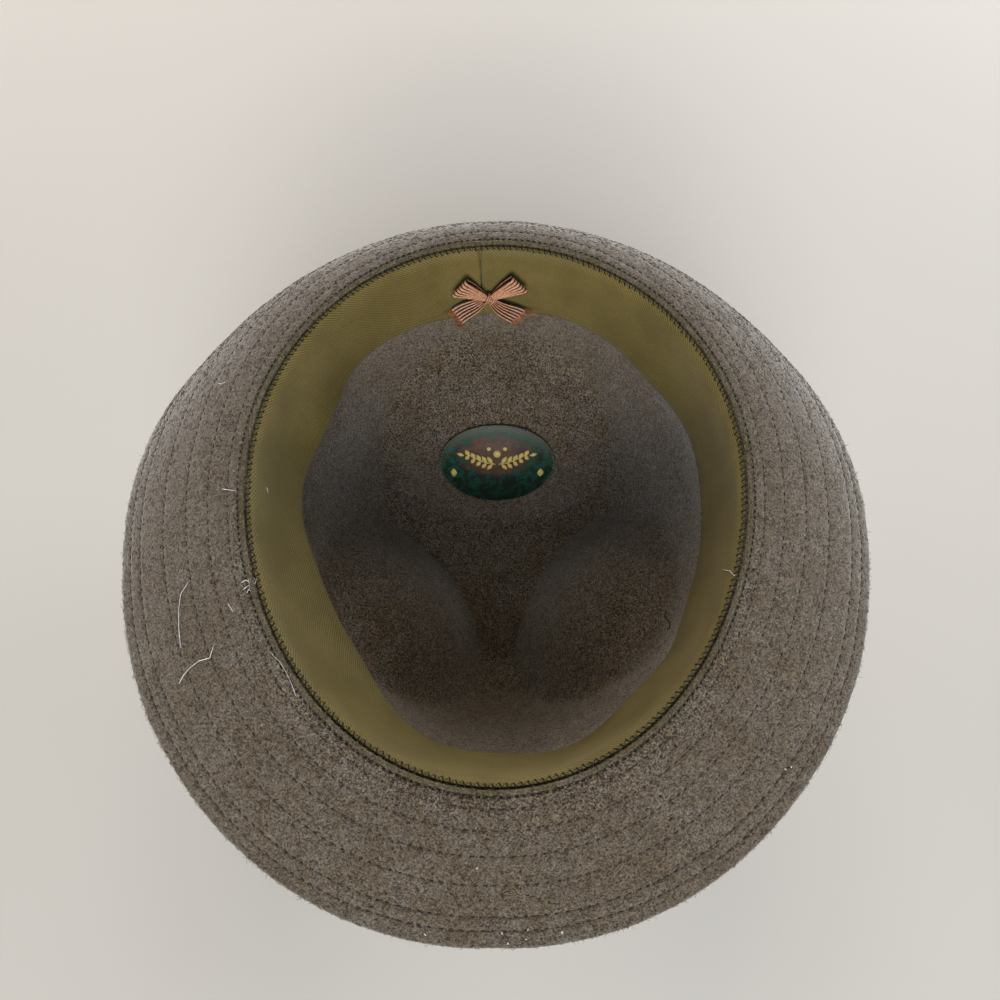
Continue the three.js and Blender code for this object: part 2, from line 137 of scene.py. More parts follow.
def new_material(name, base, roughness, sheen=0.0, specular=0.3, metallic=0.0):
    """A Principled material, with the numbers that are the same all over set on the shader."""
    material = bpy.data.materials.new(name)
    material.use_nodes = True
    shader = material.node_tree.nodes["Principled BSDF"]
    shader.inputs["Base Color"].default_value = base
    shader.inputs["Roughness"].default_value = roughness
    shader.inputs["Metallic"].default_value = metallic
    shader.inputs["Specular IOR Level"].default_value = specular
    shader.inputs["Sheen Weight"].default_value = sheen
    shader.inputs["Sheen Roughness"].default_value = 0.5
    return material, material.node_tree, shader


# %% Floor, world and lights
FLOOR_SIZE = 4.0
WORLD_STRENGTH = 0.055

bpy.ops.mesh.primitive_plane_add(size=FLOOR_SIZE)
floor = bpy.context.object
floor.name = "floor"
floor_material = new_material("floor", colour(214, 211, 206), 0.8)[0]
floor.data.materials.append(floor_material)

world = bpy.data.worlds.new("studio")
world.use_nodes = True
background = world.node_tree.nodes["Background"]
background.inputs["Color"].default_value = (0.93, 0.96, 1.0, 1.0)
background.inputs["Strength"].default_value = WORLD_STRENGTH
bpy.context.scene.world = world
bpy.context.scene.view_settings.view_transform = "Standard"


def area_light(name, place, size, power, tint):
    """A square soft light that looks at the middle of the hat's opening."""
    bpy.ops.object.light_add(type="AREA", location=place)
    light = bpy.context.object
    light.name = name
    light.rotation_euler = (Vector(place) - CAMERA_AIM).to_track_quat("Z", "Y").to_euler()
    light.data.size = size
    light.data.energy = power
    light.data.color = tint


LIGHTS = [
    {"name": "behind", "place": (0.0, 1.1, 0.85), "size": 0.8, "power": 5.3,
     "tint": (1.0, 0.89, 0.76)},
    {"name": "front", "place": (0.0, -1.0, 1.0), "size": 0.8, "power": 8.5,
     "tint": (0.92, 0.95, 1.0)},
    {"name": "low_front", "place": (0.0, -1.3, 0.5), "size": 0.7, "power": 14.0,
     "tint": (1.0, 0.96, 0.88)},
    {"name": "low_behind", "place": (0.0, 1.3, 0.3), "size": 0.7, "power": 6.6,
     "tint": (1.0, 0.95, 0.95)},
    {"name": "back_left", "place": (-1.0, 0.8, 0.35), "size": 0.6, "power": 7.2,
     "tint": (1.0, 0.94, 0.9)},
    {"name": "back_right", "place": (1.0, 0.8, 0.35), "size": 0.6, "power": 11.0,
     "tint": (0.92, 0.97, 1.0)},
]
for light in LIGHTS:
    area_light(light["name"], light["place"], light["size"], light["power"], light["tint"])

# %% [markdown]
# ## The hat's shape in formulas
# A hat is blocked over a wooden form, so its shape follows a few curves: an oval opening, a
# crown section, three round dents and a brim that rolls more at the back. The same few sizes
# and tables shape the CAD part. They are repeated here, so the fine felt lies on the solid.

# %% Sizes of the felt body, in metres
OPENING_WIDTH = 0.168
OPENING_LENGTH = 0.190
WIDEST_BEHIND_MIDDLE = 0.008
FELT_THICKNESS = 0.0024
CROWN_HEIGHT = 0.106
BREAK_RADIUS = 0.0025
BRIM_WIDTH = 0.043
DENT_SOFTNESS = 0.013

HALF_WIDTH = OPENING_WIDTH / 2 + FELT_THICKNESS
HALF_LENGTH = OPENING_LENGTH / 2 + FELT_THICKNESS
SPRING_LINE = CROWN_HEIGHT - BREAK_RADIUS
POLE = np.array([0.0, WIDEST_BEHIND_MIDDLE / 2, CROWN_HEIGHT])

# Crown section from the break to the tip: down as a share of the height, reach of the opening
CROWN_SECTION = [
    {"down": 0.0, "reach": 1.0},
    {"down": 0.12, "reach": 0.99},
    {"down": 0.25, "reach": 0.972},
    {"down": 0.38, "reach": 0.942},
    {"down": 0.5, "reach": 0.893},
    {"down": 0.62, "reach": 0.848},
    {"down": 0.73, "reach": 0.8},
    {"down": 0.82, "reach": 0.75},
    {"down": 0.9, "reach": 0.69},
    {"down": 0.955, "reach": 0.625},
    {"down": 0.99, "reach": 0.555},
    {"down": 1.01, "reach": 0.475},
    {"down": 1.02, "reach": 0.36},
    {"down": 1.02, "reach": 0.18},
    {"down": 1.02, "reach": 0.0},
]

# Dents as ellipsoids, in shares of the half width, the half length and the crown height
DENTS = [
    {"name": "rear", "centre": (0.0, 1.03, -0.28), "size": (1.04, 0.87, 0.8)},
    {"name": "left pinch", "centre": (-1.16, -0.52, -0.24), "size": (1.1, 0.8, 0.76)},
    {"name": "right pinch", "centre": (1.18, -0.5, -0.24), "size": (1.1, 0.86, 0.76)},
]

# Brim by degrees from the front: width and roll as shares of the brim width, end slope in degrees
BRIM_ROLL = [
    {"from_front": 0, "width": 0.94, "end_slope": 12, "roll": 1.0},
    {"from_front": 30, "width": 0.99, "end_slope": 10, "roll": 1.0},
    {"from_front": 60, "width": 1.02, "end_slope": 15, "roll": 1.0},
    {"from_front": 75, "width": 1.0, "end_slope": 23, "roll": 1.0},
    {"from_front": 90, "width": 1.0, "end_slope": 35, "roll": 1.0},
    {"from_front": 105, "width": 1.0, "end_slope": 53, "roll": 1.0},
    {"from_front": 120, "width": 1.0, "end_slope": 68, "roll": 0.9},
    {"from_front": 135, "width": 1.0, "end_slope": 75, "roll": 0.74},
    {"from_front": 150, "width": 1.0, "end_slope": 78, "roll": 0.56},
    {"from_front": 165, "width": 1.0, "end_slope": 79, "roll": 0.44},
    {"from_front": 180, "width": 1.0, "end_slope": 79, "roll": 0.42},
]


# %% Smooth curve through one column of a table
def table_curve(rows, key, value):
    """The smooth curve that three.js draws through the same rows, for whole arrays at once."""
    keys = np.array([row[key] for row in rows], float)
    values = np.array([row[value] for row in rows], float)
    last = len(keys) - 1

    def curve(at):
        at = np.clip(at, keys[0], keys[last])
        i = np.clip(np.searchsorted(keys, at, side="right"), 1, last)
        t0, t1, v0, v1 = keys[i - 1], keys[i], values[i - 1], values[i]
        p = (at - t0) / (t1 - t0)
        half = (t1 - t0) / 2
        at_start, at_end = i == 1, i == last
        t_before = np.where(at_start, t1, keys[np.maximum(i - 2, 0)])
        v_before = np.where(at_start, v1, values[np.maximum(i - 2, 0)])
        t_after = np.where(at_end, t0, keys[np.minimum(i + 1, last)])
        v_after = np.where(at_end, v0, values[np.minimum(i + 1, last)])
        before = half / (t0 - t_before)
        after = half / (t_after - t1)
        weight_before = -before * p**3 + 2 * before * p**2 - before * p
        weight_0 = (1 + before) * p**3 + (-1.5 - 2 * before) * p**2 + (-0.5 + before) * p + 1
        weight_1 = (-1 - after) * p**3 + (1.5 + after) * p**2 + 0.5 * p
        weight_after = after * p**3 - after * p**2
        return weight_before * v_before + weight_0 * v0 + weight_1 * v1 + weight_after * v_after

    return curve


stations = [
    {**row, "station": index / (len(CROWN_SECTION) - 1)} for index, row in enumerate(CROWN_SECTION)
]
crown_down = table_curve(stations, "station", "down")
crown_reach = table_curve(stations, "station", "reach")
brim_width_share = table_curve(BRIM_ROLL, "from_front", "width")
brim_end_slope = table_curve(BRIM_ROLL, "from_front", "end_slope")
brim_roll_share = table_curve(BRIM_ROLL, "from_front", "roll")
print("reach half way down the crown:", round(float(crown_reach(0.5)), 3))


# %% Points of the felt's outer face
def points(x, y, z):
    """Three arrays as rows of points."""
    return np.stack(np.broadcast_arrays(x, y, z), axis=1).astype(float)


def oval_length(angle):
    """Half length of the oval on the side that an angle lies on."""
    return HALF_LENGTH + np.where(np.sin(angle) < 0, WIDEST_BEHIND_MIDDLE, -WIDEST_BEHIND_MIDDLE)


def oval_point(angle, reach, z):
    """Point of the opening's oval, scaled toward its widest place."""
    x = HALF_WIDTH * reach * np.cos(angle)
    y = WIDEST_BEHIND_MIDDLE + oval_length(angle) * reach * np.sin(angle)
    return points(x, y, z)


def oval_normal(angle):
    """Outward direction of the oval in plan."""
    normal = points(oval_length(angle) * np.cos(angle), HALF_WIDTH * np.sin(angle), 0 * angle)
    return normal / np.linalg.norm(normal, axis=1, keepdims=True)


def dent_distance(dent, direction):
    """Distance along rays from the pole at which they meet a dent's ellipsoid."""
    scale = np.array([HALF_WIDTH, HALF_LENGTH, CROWN_HEIGHT])
    size = np.array(dent["size"]) * scale
    start = (POLE - np.array(dent["centre"]) * scale) / size
    step = direction / size
    a = (step * step).sum(1)
    b = step @ start
    inside = b * b - a * (start @ start - 1)
    return np.where(inside > 0, (-b - np.sqrt(np.maximum(inside, 0))) / a, 10.0)


def crown_point(angle, station):
    """Crown at a station between the break (0) and the middle of the tip (1)."""
    z = SPRING_LINE * (1 - crown_down(station))
    direction = oval_point(angle, np.maximum(crown_reach(station), 0), z) - POLE
    reached = np.linalg.norm(direction, axis=1)
    direction /= reached[:, None]
    for dent in DENTS:
        distance = dent_distance(dent, direction)
        overlap = np.maximum(DENT_SOFTNESS - np.abs(reached - distance), 0) / DENT_SOFTNESS
        reached = np.minimum(reached, distance) - overlap**2 * DENT_SOFTNESS / 4
    point = POLE + direction * reached[:, None]
    point[:, 2] = np.maximum(point[:, 2], 0)
    return point


def break_point(angle, share):
    """Small round where the crown turns into the brim."""
    bend = share * math.pi / 2
    point = oval_point(angle, 1, SPRING_LINE + BREAK_RADIUS * np.sin(bend))
    return point + oval_normal(angle) * (BREAK_RADIUS * (1 - np.cos(bend)))[:, None]


def degrees_from_front(angle):
    """How far round the hat an angle lies from the front, on either side."""
    return np.abs((np.degrees(angle) + 270) % 360 - 180)


def brim_width_at(angle):
    """Width of the brim from the break to its cut edge."""
    return BRIM_WIDTH * brim_width_share(degrees_from_front(angle))


def brim_point(angle, along):
    """Brim at a length from the break, rolling down toward the crown."""
    from_front = degrees_from_front(angle)
    end_slope = np.radians(brim_end_slope(from_front))
    roll_length = BRIM_WIDTH * brim_roll_share(from_front)
    radius = roll_length / end_slope
    slope = end_slope * np.minimum(along / roll_length, 1)
    straight = np.maximum(along - roll_length, 0)
    out = radius * np.sin(slope) + straight * np.cos(slope)
    drop = radius * (1 - np.cos(slope)) + straight * np.sin(slope)
    point = break_point(angle, np.ones_like(along)) + oval_normal(angle) * out[:, None]
    point[:, 2] -= drop
    return point


# %% [markdown]
# ## The felt body
# A grid wraps round the hat: one way it runs round the opening, the other way from the middle
# of the crown's tip to the edge of the brim. The seam and the pole are merged, a Solidify
# modifier gives the felt its wall, and small vertex moves give lumps, a soft cut edge and the
# grooves that the rows of stitching press into a real brim. Sculpting by hand could do the
# same, but the formula keeps the felt exactly where its solid is.

# %% Helpers for shaped grids
def coordinates(piece):
    """The vertices of a mesh as rows."""
    flat = np.empty(len(piece.data.vertices) * 3)
    piece.data.vertices.foreach_get("co", flat)
    return flat.reshape(-1, 3)


def normals(piece):
    """The vertex normals of a mesh as rows."""
    flat = np.empty(len(piece.data.vertices) * 3)
    piece.data.vertices.foreach_get("normal", flat)
    return flat.reshape(-1, 3)


def move_vertices(piece, places):
    """Puts each vertex of a mesh at its row."""
    piece.data.vertices.foreach_set("co", np.ascontiguousarray(places).ravel())
    piece.data.update()


def triangles(piece):
    """Number of triangles in a mesh."""
    piece.data.calc_loop_triangles()
    return len(piece.data.loop_triangles)


def ray_surface(piece):
    """A mesh's faces as a surface that rays can meet."""
    return BVHTree.FromPolygons(
        [tuple(place) for place in coordinates(piece)],
        [tuple(face.vertices) for face in piece.data.polygons])


def start_clean():
    """Nothing selected, so that the next operator acts on the new piece alone."""
    bpy.ops.object.select_all(action="DESELECT")


def select_only(piece):
    """Makes one piece the selected and active one."""
    start_clean()
    piece.select_set(True)
    bpy.context.view_layer.objects.active = piece


def shaped_grid(name, columns, rows, place):
    """A grid primitive whose vertices place(across, along) puts in space, seams merged."""
    start_clean()
    bpy.ops.mesh.primitive_grid_add(x_subdivisions=columns, y_subdivisions=rows, size=1)
    sheet = bpy.context.object
    sheet.name = name
    flat = coordinates(sheet)
    move_vertices(sheet, place(flat[:, 0] + 0.5, flat[:, 1] + 0.5))
    return sheet


def merge_seams(piece, distance=1e-6):
    """Merges vertices that lie on one another."""
    select_only(piece)
    bpy.ops.object.mode_set(mode="EDIT")
    bpy.ops.mesh.select_all(action="SELECT")
    bpy.ops.mesh.remove_doubles(threshold=distance)
    bpy.ops.object.mode_set(mode="OBJECT")


def thicken(piece, thickness):
    """Gives a sheet its wall, behind the side that its faces look to."""
    select_only(piece)
    solidify = piece.modifiers.new("wall", "SOLIDIFY")
    solidify.thickness = thickness
    solidify.offset = -1
    bpy.ops.object.modifier_apply(modifier=solidify.name)


def finish_piece(piece, material, slot, *replaced):
    """Shades a piece smooth, gives it its finish and fastens it to the hat's body."""
    select_only(piece)
    bpy.ops.object.shade_smooth()
    piece.data.materials.clear()
    piece.data.materials.append(material)
    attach(piece, "root")
    if replaced:
        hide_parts(*replaced)
    print(piece.name, "has", triangles(piece), "triangles")


def lumps(places, size, seed):
    """Soft random heights from -1 to 1 that change over a size in metres."""
    shift = Vector((seed * 7.3, seed * 3.1, seed * 5.7))
    return np.array([noise.noise(Vector(place) / size + shift) for place in places])


# %% Rows of stitching on the brim
# Distance of each row from the cut edge on a brim of full width, the outer two close together
STITCH_ROWS = [0.0044, 0.0084, 0.0176, 0.0260, 0.0336, 0.0402]
FRONT_EXTRA = 0.0012
GROOVE_HALF_WIDTH = 0.0012
GROOVE_DEPTH = 0.00024
INNER_ROW_STRENGTH = 0.7


def brim_along(angle, from_edge):
    """Length from the break of a line that lies at a distance from the edge of a full brim."""
    front = np.cos(np.radians(np.minimum(degrees_from_front(angle), 90)))
    inner = 1 - from_edge / BRIM_WIDTH
    moved = FRONT_EXTRA * front**4 * inner * np.minimum(from_edge / STITCH_ROWS[0], 1)
    return brim_width_at(angle) * inner - moved


def groove_share(from_edge):
    """How deep the felt is drawn in at a distance from the edge, from 0 to 1."""
    deepest = np.zeros_like(from_edge)
    for index, row in enumerate(STITCH_ROWS):
        away = np.abs(from_edge - row) / GROOVE_HALF_WIDTH
        strength = 1.0 if index < 2 else INNER_ROW_STRENGTH
        deepest = np.maximum(deepest, strength * np.maximum(1 - away, 0) ** 1.5)
    return deepest


def brim_row_places():
    """Distances from the edge of the grid's rows, close together where a groove runs."""
    steps = (-0.0017, -0.0011, -0.0006, -0.00025, 0.0, 0.00025, 0.0006, 0.0011, 0.0017)
    places = {0.0, 0.0004, 0.0009, 0.0015, 0.0022, BRIM_WIDTH}
    places.update(row + step for row in STITCH_ROWS for step in steps)
    ordered = sorted(places, reverse=True)
    filled = []
    for place, following in zip(ordered, ordered[1:]):
        parts = math.ceil((place - following) / 0.0012)
        filled.extend(place + (following - place) * part / parts for part in range(parts))
    return np.array([*filled, 0.0])


brim_rows = brim_row_places()
print("rows of the brim's grid:", len(brim_rows) - 1)

# %% Felt body
FELT_COLUMNS = 240
CROWN_ROWS = 80
BREAK_ROWS = 8
EDGE_ROUNDING = 0.0018
EDGE_PINCH = 0.0009
EDGE_DARKENED_WIDTH = 0.0028
FINE_LUMPS = 0.00012
BROAD_LUMPS = 0.00026
BRIM_START = CROWN_ROWS + BREAK_ROWS
felt_rows = BRIM_START + len(brim_rows) - 1


def felt_place(across, along):
    """Point of the felt's outer face for a place on the grid."""
    angle = across * 2 * math.pi
    row = along * felt_rows
    crown_station = np.clip(1 - row / CROWN_ROWS, 0, 1)
    break_share = np.clip((row - CROWN_ROWS) / BREAK_ROWS, 0, 1)
    from_edge = np.interp(row - BRIM_START, np.arange(len(brim_rows)), brim_rows)
    place = break_point(angle, break_share)
    on_brim = row >= BRIM_START - 0.001
    place = np.where(on_brim[:, None], brim_point(angle, brim_along(angle, from_edge)), place)
    on_crown = row < CROWN_ROWS - 0.001
    return np.where(on_crown[:, None], crown_point(angle, crown_station), place)


def point_attribute(piece, name, values):
    """Keeps a number for each vertex of a mesh, for later steps and for the material."""
    attribute = piece.data.attributes.new(name, "FLOAT", "POINT")
    attribute.data.foreach_set("value", np.asarray(values, np.float32))


def read_attribute(piece, name):
    """The numbers kept for each vertex."""
    values = np.empty(len(piece.data.vertices), np.float32)
    piece.data.attributes[name].data.foreach_get("value", values)
    return values


felt_body = shaped_grid("felt_body_fine", FELT_COLUMNS, felt_rows, felt_place)
grid_row = np.repeat(np.arange(felt_rows + 1), FELT_COLUMNS + 1)
grid_from_edge = np.interp(grid_row - BRIM_START, np.arange(len(brim_rows)), brim_rows)
on_brim = grid_row > BRIM_START
point_attribute(felt_body, "groove", groove_share(grid_from_edge) * on_brim)
edge_pinch = EDGE_PINCH * np.maximum(1 - grid_from_edge / EDGE_ROUNDING, 0) ** 2 * on_brim
# The felt is painted darker near the brim's cut edge, fading out over the width set above.
point_attribute(felt_body, "edge", np.maximum(1 - grid_from_edge / EDGE_DARKENED_WIDTH, 0) * on_brim)
point_attribute(felt_body, "edge_pinch", edge_pinch)
merge_seams(felt_body)
thicken(felt_body, FELT_THICKNESS)

cad_low, cad_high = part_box("felt_body")
own = coordinates(felt_body)
HAT_SHIFT = np.array([0, (cad_low.y + cad_high.y - own[:, 1].min() - own[:, 1].max()) / 2, 0])
print("the hat's middle lies", round(HAT_SHIFT[1] * 1000, 2), "mm behind the oval's middle")

drawn_in = GROOVE_DEPTH * read_attribute(felt_body, "groove") + read_attribute(felt_body, "edge_pinch")
waves = FINE_LUMPS * lumps(own, 0.004, 1) + BROAD_LUMPS * lumps(own, 0.016, 2)
own += normals(felt_body) * (waves - drawn_in)[:, None] + HAT_SHIFT
own[:, 2] = np.maximum(own[:, 2], 0)
move_vertices(felt_body, own)
felt_body.data.attributes.remove(felt_body.data.attributes["edge_pinch"])
felt_grid_faces = FELT_COLUMNS * felt_rows
felt_surface = ray_surface(felt_body)

# %% [markdown]
# ## The felt's finish
# Melange felt is made of fibres that were dyed apart and felted together, so it looks like
# pepper and salt from close by and like one soft grey brown from far away. Noise at several
# sizes gives that: flecks under a millimetre, wisps of a few millimetres, and patches where
# more brown or more grey wool ended up. It is a node group, because the cord along the band is
# the same kind of wool in other colours.

# %% Helpers for node groups
def add_socket(group, name, way, kind, value=None):
    """A named input or output of a node group."""
    socket = group.interface.new_socket(name=name, in_out=way, socket_type=kind)
    if value is not None:
        socket.default_value = value


def noise_at(tree, place, scale, detail=2.0, distortion=0.0):
    """Noise of a scale per metre at a place, a mask round one half."""
    made = node(tree, "ShaderNodeTexNoise", {
        "Vector": place, "Scale": scale, "Detail": detail, "Distortion": distortion})
    return made.outputs["Fac"]


def ranged(tree, value, low, high, to_low=0.0, to_high=1.0):
    """A value's range turned into another one, and held inside it."""
    made = node(tree, "ShaderNodeMapRange", {
        "Value": value, "From Min": low, "From Max": high, "To Min": to_low, "To Max": to_high})
    return made.outputs["Result"]


def maths(tree, operation, *values):
    """One step of arithmetic on sockets and numbers."""
    return node(tree, "ShaderNodeMath", dict(enumerate(values)), operation=operation).outputs[0]


def mixed(tree, factor, first, second):
    """Two colours mixed by a mask."""
    made = node(tree, "ShaderNodeMix", {
        "Factor": factor, "A": first, "B": second}, data_type="RGBA")
    return made.outputs["Result"]


def scaled_colour(tree, value, factor):
    """A colour made darker or lighter by a mask."""
    made = node(tree, "ShaderNodeVectorMath", {0: value, "Scale": factor}, operation="SCALE")
    return made.outputs["Vector"]


def bumped(tree, height, strength, distance):
    """A bump in the surface from a height mask."""
    made = node(tree, "ShaderNodeBump", {
        "Strength": strength, "Distance": distance, "Height": height})
    return made.outputs["Normal"]


def object_place(tree):
    """Place in the hat's own coordinates."""
    return node(tree, "ShaderNodeTexCoord").outputs["Object"]


def kept_mask(tree, name):
    """The numbers that a mesh keeps for its vertices, as a mask."""
    return node(tree, "ShaderNodeAttribute", attribute_name=name).outputs["Fac"]


def two_tones(tree, grain, first, second):
    """Two colours mixed by the middle part of a noise."""
    return mixed(tree, ranged(tree, grain, 0.35, 0.65), first, second)


def link_look(tree, shader, base, normal=None):
    """Links a colour, and a normal if there is one, to the shader."""
    tree.links.new(base, shader.inputs["Base Color"])
    if normal is not None:
        tree.links.new(normal, shader.inputs["Normal"])


# %% Wool flecks as a node group
def wool_group():
    """Melange wool: a colour and a height that change over the surface."""
    group = bpy.data.node_groups.new("wool_melange", "ShaderNodeTree")
    add_socket(group, "Brown", "INPUT", "NodeSocketColor", colour(97, 84, 67))
    add_socket(group, "Grey", "INPUT", "NodeSocketColor", colour(107, 98, 86))
    add_socket(group, "Fleck Contrast", "INPUT", "NodeSocketFloat", 1.0)
    add_socket(group, "Colour", "OUTPUT", "NodeSocketColor")
    add_socket(group, "Height", "OUTPUT", "NodeSocketFloat")
    given = node(group, "NodeGroupInput")
    place = object_place(group)
    fleck = noise_at(group, place, 1700.0, detail=2.0, distortion=0.6)
    wisp = noise_at(group, place, 620.0, detail=2.0, distortion=2.2)
    small_patch = noise_at(group, place, 260.0, detail=2.0, distortion=0.8)
    broad_patch = noise_at(group, place, 90.0, detail=2.0)
    patches = maths(group, "ADD", small_patch, broad_patch)
    base = mixed(group, ranged(group, patches, 0.76, 1.24), given.outputs["Brown"],
                 given.outputs["Grey"])
    fine_tone = ranged(group, fleck, 0.25, 0.75, -0.75, 0.75)
    wisp_tone = ranged(group, wisp, 0.25, 0.75, -0.5, 0.5)
    tones = maths(group, "ADD", fine_tone, wisp_tone)
    toned = maths(group, "MULTIPLY_ADD", tones, given.outputs["Fleck Contrast"], 1.0)
    bright = maths(group, "MAXIMUM", toned, 0.1)
    height = maths(group, "ADD", fleck, wisp)
    node(group, "NodeGroupOutput", {
        "Colour": scaled_colour(group, base, bright), "Height": height})
    return group


wool_melange = wool_group()
print("wool group:", [item.name for item in wool_melange.interface.items_tree])

# %% Felt material
GROOVE_SHADE = 0.28
EDGE_SHADE = 0.34
CROWN_CONTRAST = 2.1
BRIM_CONTRAST = 1.15

felt_material, felt_tree, felt_shader = new_material(
    "melange_felt", colour(98, 88, 76), 0.95, sheen=0.8, specular=0.12)
felt_wool = node(felt_tree, "ShaderNodeGroup", node_tree=wool_melange)
felt_place = node(felt_tree, "ShaderNodeSeparateXYZ", {"Vector": object_place(felt_tree)})
felt_x = maths(felt_tree, "DIVIDE", felt_place.outputs["X"], HALF_WIDTH)
felt_y = maths(felt_tree, "DIVIDE", felt_place.outputs["Y"], HALF_LENGTH)
felt_reach = maths(felt_tree, "SQRT", maths(
    felt_tree, "MULTIPLY_ADD", felt_x, felt_x, maths(felt_tree, "MULTIPLY", felt_y, felt_y)))
felt_tree.links.new(ranged(felt_tree, felt_reach, 0.9, 1.05, CROWN_CONTRAST, BRIM_CONTRAST),
                    felt_wool.inputs["Fleck Contrast"])
# The stitch grooves are painted darker as well: painted shade in the recesses, broken up by noise.
felt_groove = kept_mask(felt_tree, "groove")
felt_break_up = ranged(felt_tree, noise_at(felt_tree, object_place(felt_tree), 420.0), 0.35, 0.6)
felt_shade = maths(felt_tree, "MULTIPLY", felt_groove, felt_break_up)
felt_groove_tone = ranged(felt_tree, felt_shade, 0.15, 0.9, 1.0, 1.0 - GROOVE_SHADE)
felt_edge = kept_mask(felt_tree, "edge")
felt_edge_tone = ranged(felt_tree, felt_edge, 0.0, 1.0, 1.0, 1.0 - EDGE_SHADE)
felt_bright = maths(felt_tree, "MULTIPLY", felt_groove_tone, felt_edge_tone)
link_look(felt_tree, felt_shader,
          scaled_colour(felt_tree, felt_wool.outputs["Colour"], felt_bright),
          bumped(felt_tree, felt_wool.outputs["Height"], 0.6, 0.0003))
finish_piece(felt_body, felt_material, "felt", "felt_body")

# %% [markdown]
# ## The sweatband
# The band is one strip of olive ribbon, 34 mm high. It is sewn over the break, follows the
# crown wall down, and its free edge stands off the felt in waves, most at the front left. A
# cloth simulation would find waves of its own, so the waves are a table read off the
# photograph. The ends meet in a narrow seam at the back, where one end lifts a little.

# %% Sweatband sizes and waves
BAND_HEIGHT = 0.034
BAND_THICKNESS = 0.0009
RIBBON_THICKNESS = 0.0006
BAND_STANDOFF = 0.0105
BAND_TURN_OUT = math.radians(50)
SEWN_GAP = 0.00035
SEAM_GAP = 0.0005
SEAM_LEFT_OF_BACK = 0.0065
SEAM_LIFT = 0.0009
SEAM_LIFT_LENGTH = 0.007
BAND_COLUMNS = 420
BAND_ROWS = 26

# Stand-off of the free edge by degrees from the right side, as a share of the largest
BAND_WAVE = [
    {"at": 0, "standoff": 0.07},
    {"at": 18, "standoff": 0.0},
    {"at": 40, "standoff": 0.24},
    {"at": 54, "standoff": 0.07},
    {"at": 70, "standoff": 0.0},
    {"at": 84, "standoff": 0.1},
    {"at": 98, "standoff": 0.25},
    {"at": 114, "standoff": 0.15},
    {"at": 130, "standoff": 0.09},
    {"at": 141, "standoff": 0.27},
    {"at": 152, "standoff": 0.64},
    {"at": 163, "standoff": 0.68},
    {"at": 176, "standoff": 0.46},
    {"at": 186, "standoff": 0.52},
    {"at": 198, "standoff": 0.84},
    {"at": 212, "standoff": 1.0},
    {"at": 224, "standoff": 1.0},
    {"at": 238, "standoff": 0.64},
    {"at": 252, "standoff": 0.35},
    {"at": 272, "standoff": 0.32},
    {"at": 288, "standoff": 0.05},
    {"at": 310, "standoff": 0.22},
    {"at": 322, "standoff": 0.04},
    {"at": 334, "standoff": 0.16},
    {"at": 348, "standoff": 0.08},
]
before_turn = [{**row, "at": row["at"] - 360} for row in BAND_WAVE[-2:]]
after_turn = [{**row, "at": row["at"] + 360} for row in BAND_WAVE[:2]]
band_wave = table_curve([*before_turn, *BAND_WAVE, *after_turn], "at", "standoff")
wall_reach = table_curve(CROWN_SECTION[:6], "down", "reach")


def band_point(angle, share, depth):
    """Face of the band at a share of its height: out over the break, then down the wall."""
    along = share * BAND_HEIGHT
    radius = BREAK_RADIUS + FELT_THICKNESS + SEWN_GAP
    bend = np.maximum(BAND_TURN_OUT - along / radius, 0)
    below = np.maximum(along - BAND_TURN_OUT * radius, 0)
    standoff = BAND_STANDOFF * band_wave(np.degrees(angle) % 360) * share**2
    z = SPRING_LINE + (radius + depth) * np.sin(bend) - below
    out = BREAK_RADIUS - (radius + depth) * np.cos(bend) - standoff
    place = oval_point(angle, wall_reach(below / SPRING_LINE), z)
    return place + oval_normal(angle) * out[:, None] + HAT_SHIFT


# %% Sweatband
seam_angle = math.pi / 2 + SEAM_LEFT_OF_BACK / HALF_WIDTH
band_turn = 2 * math.pi - SEAM_GAP / HALF_WIDTH
band_length = 2 * math.pi * math.sqrt((HALF_WIDTH**2 + HALF_LENGTH**2) / 2)


def band_place(across, along):
    """Front face of the band for a place on the grid, with one end lifted at the seam."""
    angle = seam_angle + SEAM_GAP / HALF_WIDTH / 2 + across * band_turn
    lift = SEAM_LIFT * np.maximum(1 - across * band_length / SEAM_LIFT_LENGTH, 0) ** 2 * along
    place = band_point(angle, along, np.full_like(along, BAND_THICKNESS))
    return place - oval_normal(angle) * lift[:, None]


sweatband = shaped_grid("sweatband_fine", BAND_COLUMNS, BAND_ROWS, band_place)
thicken(sweatband, RIBBON_THICKNESS)
print("band about", round(band_length * 1000), "mm long")

# %% [markdown]
# ## Ribbon weave
# The band is a twill: its ribs run slantwise, 0.85 mm apart, so the pattern has to follow
# the ribbon and not the room. The strip's own UV map runs along and across it, and a group
# turns it into ribs of a given spacing. The bow's stripes and ribs come from the same group.

# %% Ribbon ribs as a node group
def rib_group():
    """Ribs on a ribbon's UV map: a mask that is 0 between two ribs and 1 on top of one."""
    group = bpy.data.node_groups.new("ribbon_ribs", "ShaderNodeTree")
    add_socket(group, "Length", "INPUT", "NodeSocketFloat", 1.0)
    add_socket(group, "Width", "INPUT", "NodeSocketFloat", 1.0)
    add_socket(group, "Ribs", "OUTPUT", "NodeSocketFloat")
    given = node(group, "NodeGroupInput")
    spot = node(group, "ShaderNodeSeparateXYZ", {
        "Vector": node(group, "ShaderNodeUVMap").outputs["UV"]})
    along = maths(group, "MULTIPLY", spot.outputs["X"], given.outputs["Length"])
    slanted = maths(group, "MULTIPLY_ADD", spot.outputs["Y"], given.outputs["Width"], along)
    wave = maths(group, "COSINE", maths(group, "MULTIPLY", slanted, 2 * math.pi))
    node(group, "NodeGroupOutput", {"Ribs": ranged(group, wave, -1.0, 1.0, 1.0, 0.0)})
    return group


ribbon_ribs = rib_group()

# %% Band material
RIB_PITCH = 0.00085
RIB_TURN = math.radians(35)
EDGE_LINE = 0.925

